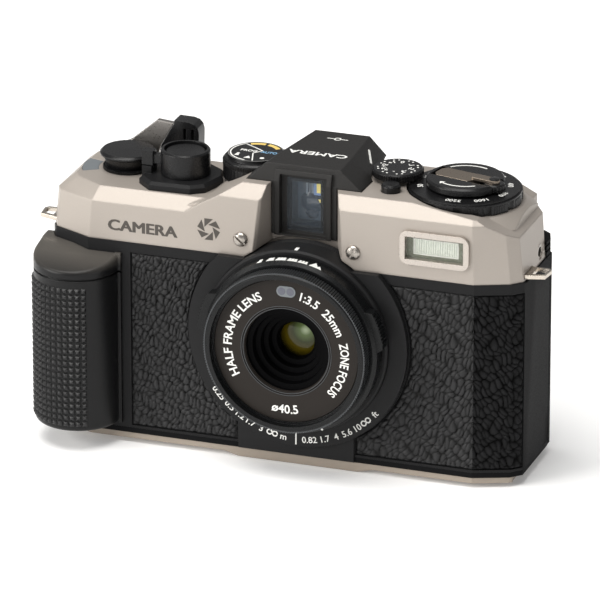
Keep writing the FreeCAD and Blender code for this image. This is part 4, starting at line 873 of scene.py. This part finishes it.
# --------------------------------------------------------------------------
# Knurls and ribs
# --------------------------------------------------------------------------
def make_knurls():
    rims = [ring_of_teeth(round_lens, radius, radius + 0.16, radius + 0.16, -25.1, -24.9, 48)
            for radius in (11.45, 12.0)]
    piece("name_rims", *joined(rims), MAT["knurl_black"], "barrel", "black_metal")
    piece("barrel_knurl", *ring_of_teeth(round_lens, 21.25, 21.38, 21.66, -26.85, -23.2, 200),
          MAT["knurl_black"], "barrel", "black_metal")
    piece("mode_knurl", *joined([
        ring_of_teeth(upright(MODE), 8.3, 8.4, 8.56, 73.35, 74.35, 110),
        ring_of_teeth(upright(MODE), 8.3, 8.38, 8.46, 69.9, 73.2, 48)]),
        MAT["black_metal"], "mode", "black_metal")
    piece("exposure_knurl", *ring_of_teeth(upright(EXPOSURE), 6.35, 6.43, 6.62, 75.25, 76.6, 60),
          MAT["black_metal"], "exposure", "black_metal")
    piece("lever_knurl", *ring_of_teeth(upright(LEVER), 6.1, 6.3, 6.55, 68.32, 69.1, 90),
          MAT["black_metal"], "case", "black_metal")
    piece("handle_knurl", *ring_of_teeth(upright(HANDLE), 2.5, 2.6, 2.8, 75.05, 76.6, 16),
          MAT["gloss_black"], "handle", "black_plastic")
    tab_width = 18.0
    tab_ribs = []
    for start in (8.0, 154.0):
        clockwise = 90.0 - start - tab_width
        tab_ribs.append(ring_of_teeth(round_lens, 24.7, 24.95, 25.2, -22.2, -18.8, 9,
                                      clockwise, clockwise + tab_width))
    piece("tab_ribs", *joined(tab_ribs), MAT["lens_black"], "focus", "black_plastic")
    scallops = []
    for i in range(12):
        middle = 30.0 * i + 25.0
        scallops.append(ring_of_teeth(upright(REWIND), 14.3, 14.45, 14.62, 71.45, 73.4, 5,
                                      middle - 7.5, middle + 7.5))
    piece("speed_ribs", *joined(scallops), MAT["black_metal"], "iso", "black_metal")


# --------------------------------------------------------------------------
# Printed marks
# --------------------------------------------------------------------------
# Lines on the name ring: text, middle in degrees clockwise from the top, inwards, width.
NAME_LINES = [("1:3.5  25mm", 41.0, False, 14.9), ("ZONE FOCUS", 103.5, False, 15.6),
              ("HALF FRAME LENS", 286.5, False, 26.5), ("ø40.5", 181.0, True, 6.9)]
NAME_RADIUS, NAME_Y = 15.8, -25.0
# Distance scale: text and middle; the two loops that make each infinity sign.
SCALE = [("0.25", 230.5), ("0.5", 221.5), ("1.2", 213.8), ("1.7", 207.0), ("3", 200.6),
         ("m", 187.7), ("0.82", 173.0), ("1.7", 163.8), ("4", 157.3), ("5.6", 150.6),
         ("10", 143.4), ("ft", 130.2)]
INFINITIES = (194.2, 137.4)
SCALE_RADIUS, SCALE_Y = 27.35, -16.6
# Zone icons: middle, and how many people; 0 is the mountain.
ZONES = ((-21.0, 1), (-13.5, 2), (-6.5, 3), (1.0, 4), (8.0, 5), (16.5, 0))
MOUNTAIN = [(-1.7, 0), (1.7, 0), (0.9, 1.5), (0.4, 0.9), (-0.5, 2.6)]


def person(x, size):
    """Outlines of a head and a trunk, standing on 0."""
    head = disc_outline(0.22 * size, 10, x, 0.72 * size)
    trunk = [(x - 0.3 * size, 0.0), (x + 0.3 * size, 0.0), (x + 0.22 * size, 0.46 * size),
             (x - 0.22 * size, 0.46 * size)]
    return [head, trunk]


def make_lens_marks():
    shapes = [letters(text, 2.35, on_ring(NAME_RADIUS, NAME_Y, middle, inwards), THICK_PRINT,
                      width, 0.018) for text, middle, inwards, width in NAME_LINES]
    piece("name_text", *joined(shapes), MAT["mark_white"], "barrel", "champagne")
    shapes = [letters(text, 1.75, on_ring(SCALE_RADIUS, SCALE_Y, middle, True), weight=0.01)
              for text, middle in SCALE]
    loop = band(0.48, 0.82, 0, 350, 16)
    for middle in INFINITIES:
        for side in (-0.75, 0.75):
            shapes.append(slab([(a + side, b) for a, b in loop],
                               on_ring(SCALE_RADIUS, SCALE_Y, middle, True), PRINT))
    shapes.append(slab(rectangle(-0.16, 0.16, -1.7, 1.7), on_ring(27.2, SCALE_Y, 180.6, True),
                       PRINT))
    piece("distance_scale", *joined(shapes), MAT["mark_white"], "case", "champagne")
    index = slab(rectangle(-0.42, 0.42, -1.1, 0.8), on_tube(24.62, -16.5, 0.0), THICK_PRINT)
    piece("focus_index", *index, MAT["mark_white"], "case", "champagne")
    shapes = []
    for middle, people in ZONES:
        lift = on_tube(23.31, -21.9, middle)
        outlines = [MOUNTAIN] if people == 0 else []
        shown = min(people, 3)
        for k in range(shown):
            outlines += person((k - (shown - 1) / 2) * 0.8, 2.6 - 0.2 * people)
        shapes += [slab(outline, lift, THICK_PRINT) for outline in outlines]
    shapes.append(slab(disc_outline(0.3), on_ring(22.85, -22.93, 157.0, True), PRINT))
    piece("zone_icons", *joined(shapes), MAT["mark_white"], "focus", "champagne")


def make_front_marks():
    """Generic word, bold from shifted copies whose faces do not coincide, and an aperture."""
    shifts = [(-0.2, -0.06), (-0.1, 0.06), (0.0, -0.06), (0.1, 0.06), (0.2, -0.06)]
    shapes = [letters("CAMERA", 2.95, on_front(-42.2 + right, FRONT_Y, 59.45 + up),
                      THICK_PRINT + 0.004 * i, 18.5) for i, (right, up) in enumerate(shifts)]
    lift = on_front(-24.3, FRONT_Y, 61.3)
    outer, inner = 3.1, 1.25
    for k in range(6):
        leaf = [polar(outer, 60 * k + 8), polar(outer, 60 * k + 52), polar(inner, 60 * k + 95)]
        shapes.append(slab(leaf, lift, THICK_PRINT))
    piece("front_emblem", *joined(shapes), MAT["mark_dark"], "case", "champagne")


def make_hump_marks():
    shapes = [letters("CAMERA", 2.3, on_deck(-1.0, 2.2, HUMP_TOP, 180.0), PRINT, 15.8, 0.02)]
    lift = on_deck(0.3, 14.2, HUMP_TOP)
    shapes.append(slab(band(0.62, 0.95, 0, 350, 20), lift, PRINT))
    shapes.append(stroke((9.28, 12.62, 77.23), (11.68, 7.25, 75.70), 0.55, (0.640, 0.068, 0.765)))
    for low, high in ((-2.8, -0.8), (0.8, 2.8)):
        shapes.append(slab(rectangle(low, high, -0.14, 0.14), lift, PRINT))
    piece("hump_marks", *joined(shapes), MAT["mark_white"], "case", "champagne")


def make_rewind_marks():
    knob = on_deck(*REWIND, KNOB_TOP)
    arrow_head = [polar(7.575, 229), polar(6.65, 238), polar(8.5, 238)]
    shapes = [slab(outline, knob, PRINT) for outline in (
        band(7.35, 7.8, 62, 138, 22), band(7.35, 7.8, 237, 306, 22), arrow_head)]
    piece("rewind_arrows", *joined(shapes), MAT["mark_white"], "knob", "champagne")
    speeds = ("50", "100", "125", "160", "200", "400", "800", "1600", "3200")
    shapes = [letters(text, 1.5, on_dial(REWIND, SPEED_TOP, 11.5, 200.0 - 36.0 * i), weight=0.01)
              for i, text in enumerate(speeds)]
    piece("speed_numbers", *joined(shapes), MAT["mark_white"], "iso", "champagne")


def make_exposure_marks():
    shapes = []
    for i, text in enumerate(("0", "+1", "+2", "+3", "-", "-3", "-2", "-1")):
        middle = 90.0 + 45.0 * i
        shapes.append(letters(text, 1.5, on_dial(EXPOSURE, EXPOSURE_TOP, 3.7, middle),
                              weight=0.015))
        for side in (15.0, 30.0):
            shapes.append(slab(disc_outline(0.27, 10),
                               on_dial(EXPOSURE, EXPOSURE_TOP, 5.1, middle + side), PRINT))
    piece("exposure_numbers", *joined(shapes), MAT["mark_white"], "exposure", "champagne")


def make_mode_marks():
    mode = on_deck(*MODE, MODE_TOP)
    shapes = [slab(band(6.35, 6.7, 130, 262, 26), mode, PRINT)]
    bends = ((-4.4, 4.9), (1.4, 1.2), (-0.4, -1.2), (1.2, -6.4))
    shapes += [slab(line(start, stop, 0.16), mode, PRINT) for start, stop in zip(bends, bends[1:])]
    shapes.append(letters("PROG", 1.25, on_deck(-20.6, 5.4, MODE_TOP), PRINT, 4.4, 0.02))
    shapes += [slab(outline, on_deck(-22.6, 1.2, MODE_TOP), PRINT) for outline in person(0.0, 2.0)]
    peak = [(-0.9, -0.6), (0.9, -0.6), (0.1, 1.0)]
    shapes.append(slab(peak, on_deck(-19.4, 0.6, MODE_TOP), PRINT))
    shapes.append(slab(disc_outline(0.6), on_deck(-15.6, 1.0, MODE_TOP), PRINT))
    piece("mode_white", *joined(shapes), MAT["mark_white"], "mode", "champagne")
    piece("mode_rim", *slab(band(6.95, 7.2, 0, 359, 60), mode, 0.03), MAT["mark_grey"], "mode",
          "champagne")
    piece("mode_blue", *letters("AUTO", 1.35, on_deck(-15.2, 5.4, MODE_TOP), PRINT, 4.3, 0.02),
          MAT["mark_blue"], "mode", "champagne")
    shapes = [slab(band(5.3, 6.5, start, stop, 10), mode, 0.03)
              for start, stop in ((84, 122), (36, 76))]
    piece("mode_yellow", *joined(shapes), MAT["mark_yellow"], "mode", "champagne")


def dome(x, y, z, radius, rise, rings=5, around=28):
    """Low round lens that bulges forwards, a little flattened in height."""
    points, faces = [(x, y - rise, z)], []
    for i in range(1, rings + 1):
        r = radius * i / rings
        drop = rise * (i / rings) ** 2
        points += [(x + r * math.cos(2 * math.pi * k / around), y - rise + drop,
                    z + r * 0.85 * math.sin(2 * math.pi * k / around)) for k in range(around)]
    for k in range(around):
        faces.append((0, 1 + (k + 1) % around, 1 + k))
        for i in range(rings - 1):
            a, b = 1 + i * around + k, 1 + i * around + (k + 1) % around
            faces.append((a, b, b + around, a + around))
    return points, faces


def make_finder_inside():
    """Lenses, field mask and lit frame seen through the finder window; frame and glow are painted
    light.
    """
    mask = surround(rectangle(-5.75, 3.85, 61.05, 75.15), rectangle(-4.7, 2.9, 62.3, 73.9),
                    -6.6, -6.35)
    piece("finder_mask", *mask, MAT["finder_mask"], "case", "black_plastic")
    field = slab(rectangle(-4.75, 2.85, 62.25, 73.95), in_depth(-2.0), 0.3)
    piece("finder_field", *field, MAT["finder_glass"], "case", "smoke_glass")
    ribs = [slab([(a, 66.5), (a + 0.5, 66.2), (a + 0.5, 73.4), (a, 73.2)], in_depth(-2.35), 0.25)
            for a in (-2.4, -0.9, 0.3)]
    piece("finder_prisms", *joined(ribs), MAT["finder_edge"], "case", "glass")
    # Painted light: the lit frame and the glow behind it shine by emission, though neither is a
    # lamp.
    lit = [slab(outline, in_depth(-2.75), 0.1)
           for outline in (rectangle(0.5, 2.5, 69.9, 73.1), rectangle(0.9, 2.7, 67.4, 68.2))]
    piece("finder_lit", *joined(lit), MAT["finder_lit"], "case", "diffuser")
    glow = slab(rectangle(-0.3, 2.8, 69.2, 73.9), in_depth(-2.6), 0.1)
    piece("finder_glow", *glow, MAT["finder_glow"], "case", "diffuser")
    domes = [dome(-0.9, -2.4, 64.1, 1.7, 0.8), dome(-0.7, -2.4, 67.2, 3.3, 0.7)]
    piece("finder_lenses", *joined(domes), MAT["finder_lens"], "case", "glass")


def make_flash_inside():
    """Two frames, a ribbed pane and the bright field behind the flash window."""
    outer, middle = centred(FLASH, 7.65, 2.95), centred(FLASH, 6.0, 2.15)
    inner = centred(FLASH, 5.65, 1.9)
    piece("flash_surround", *surround(outer, middle, -14.12, -13.62), MAT["olive"], "case",
          "diffuser")
    piece("flash_border", *surround(middle, inner, -14.0, -13.6), MAT["mark_white"], "case",
          "diffuser")
    first, pitch, width = 29.3, 0.62, 0.34
    bars = []
    for i in range(22):
        x = first + pitch * i
        bars.append(slab(rectangle(x, x + width, 60.9, 65.7), in_depth(-13.6), 0.18))
    piece("flash_ribs", *joined(bars), MAT["flash_pane"], "case", "diffuser")
    field = slab(rectangle(29.15, 43.05, 60.75, 65.85), in_depth(-13.55), 0.1)
    piece("flash_pane", *field, MAT["flash_glow"], "case", "diffuser")


def make_meter_lenses():
    discs = [slab(disc_outline(1.0, 20, a, 0.0), on_front(0.0, -25.12, LENS_Z + 16.15), 0.05)
             for a in (-1.15, 1.15)]
    piece("meter_lenses", *joined(discs), MAT["meter_lens"], "barrel", "smoke_glass")


make_camera()
make_studio()
MAT = make_materials()
for key, names in MATERIAL_OF.items():
    for name in names:
        dress(name, MAT[key])

make_front_leather()
make_back_leather()
make_grip_studs()
make_knurls()
make_lens_marks()
make_front_marks()
make_hump_marks()
make_rewind_marks()
make_exposure_marks()
make_mode_marks()
make_finder_inside()
make_flash_inside()
make_meter_lenses()
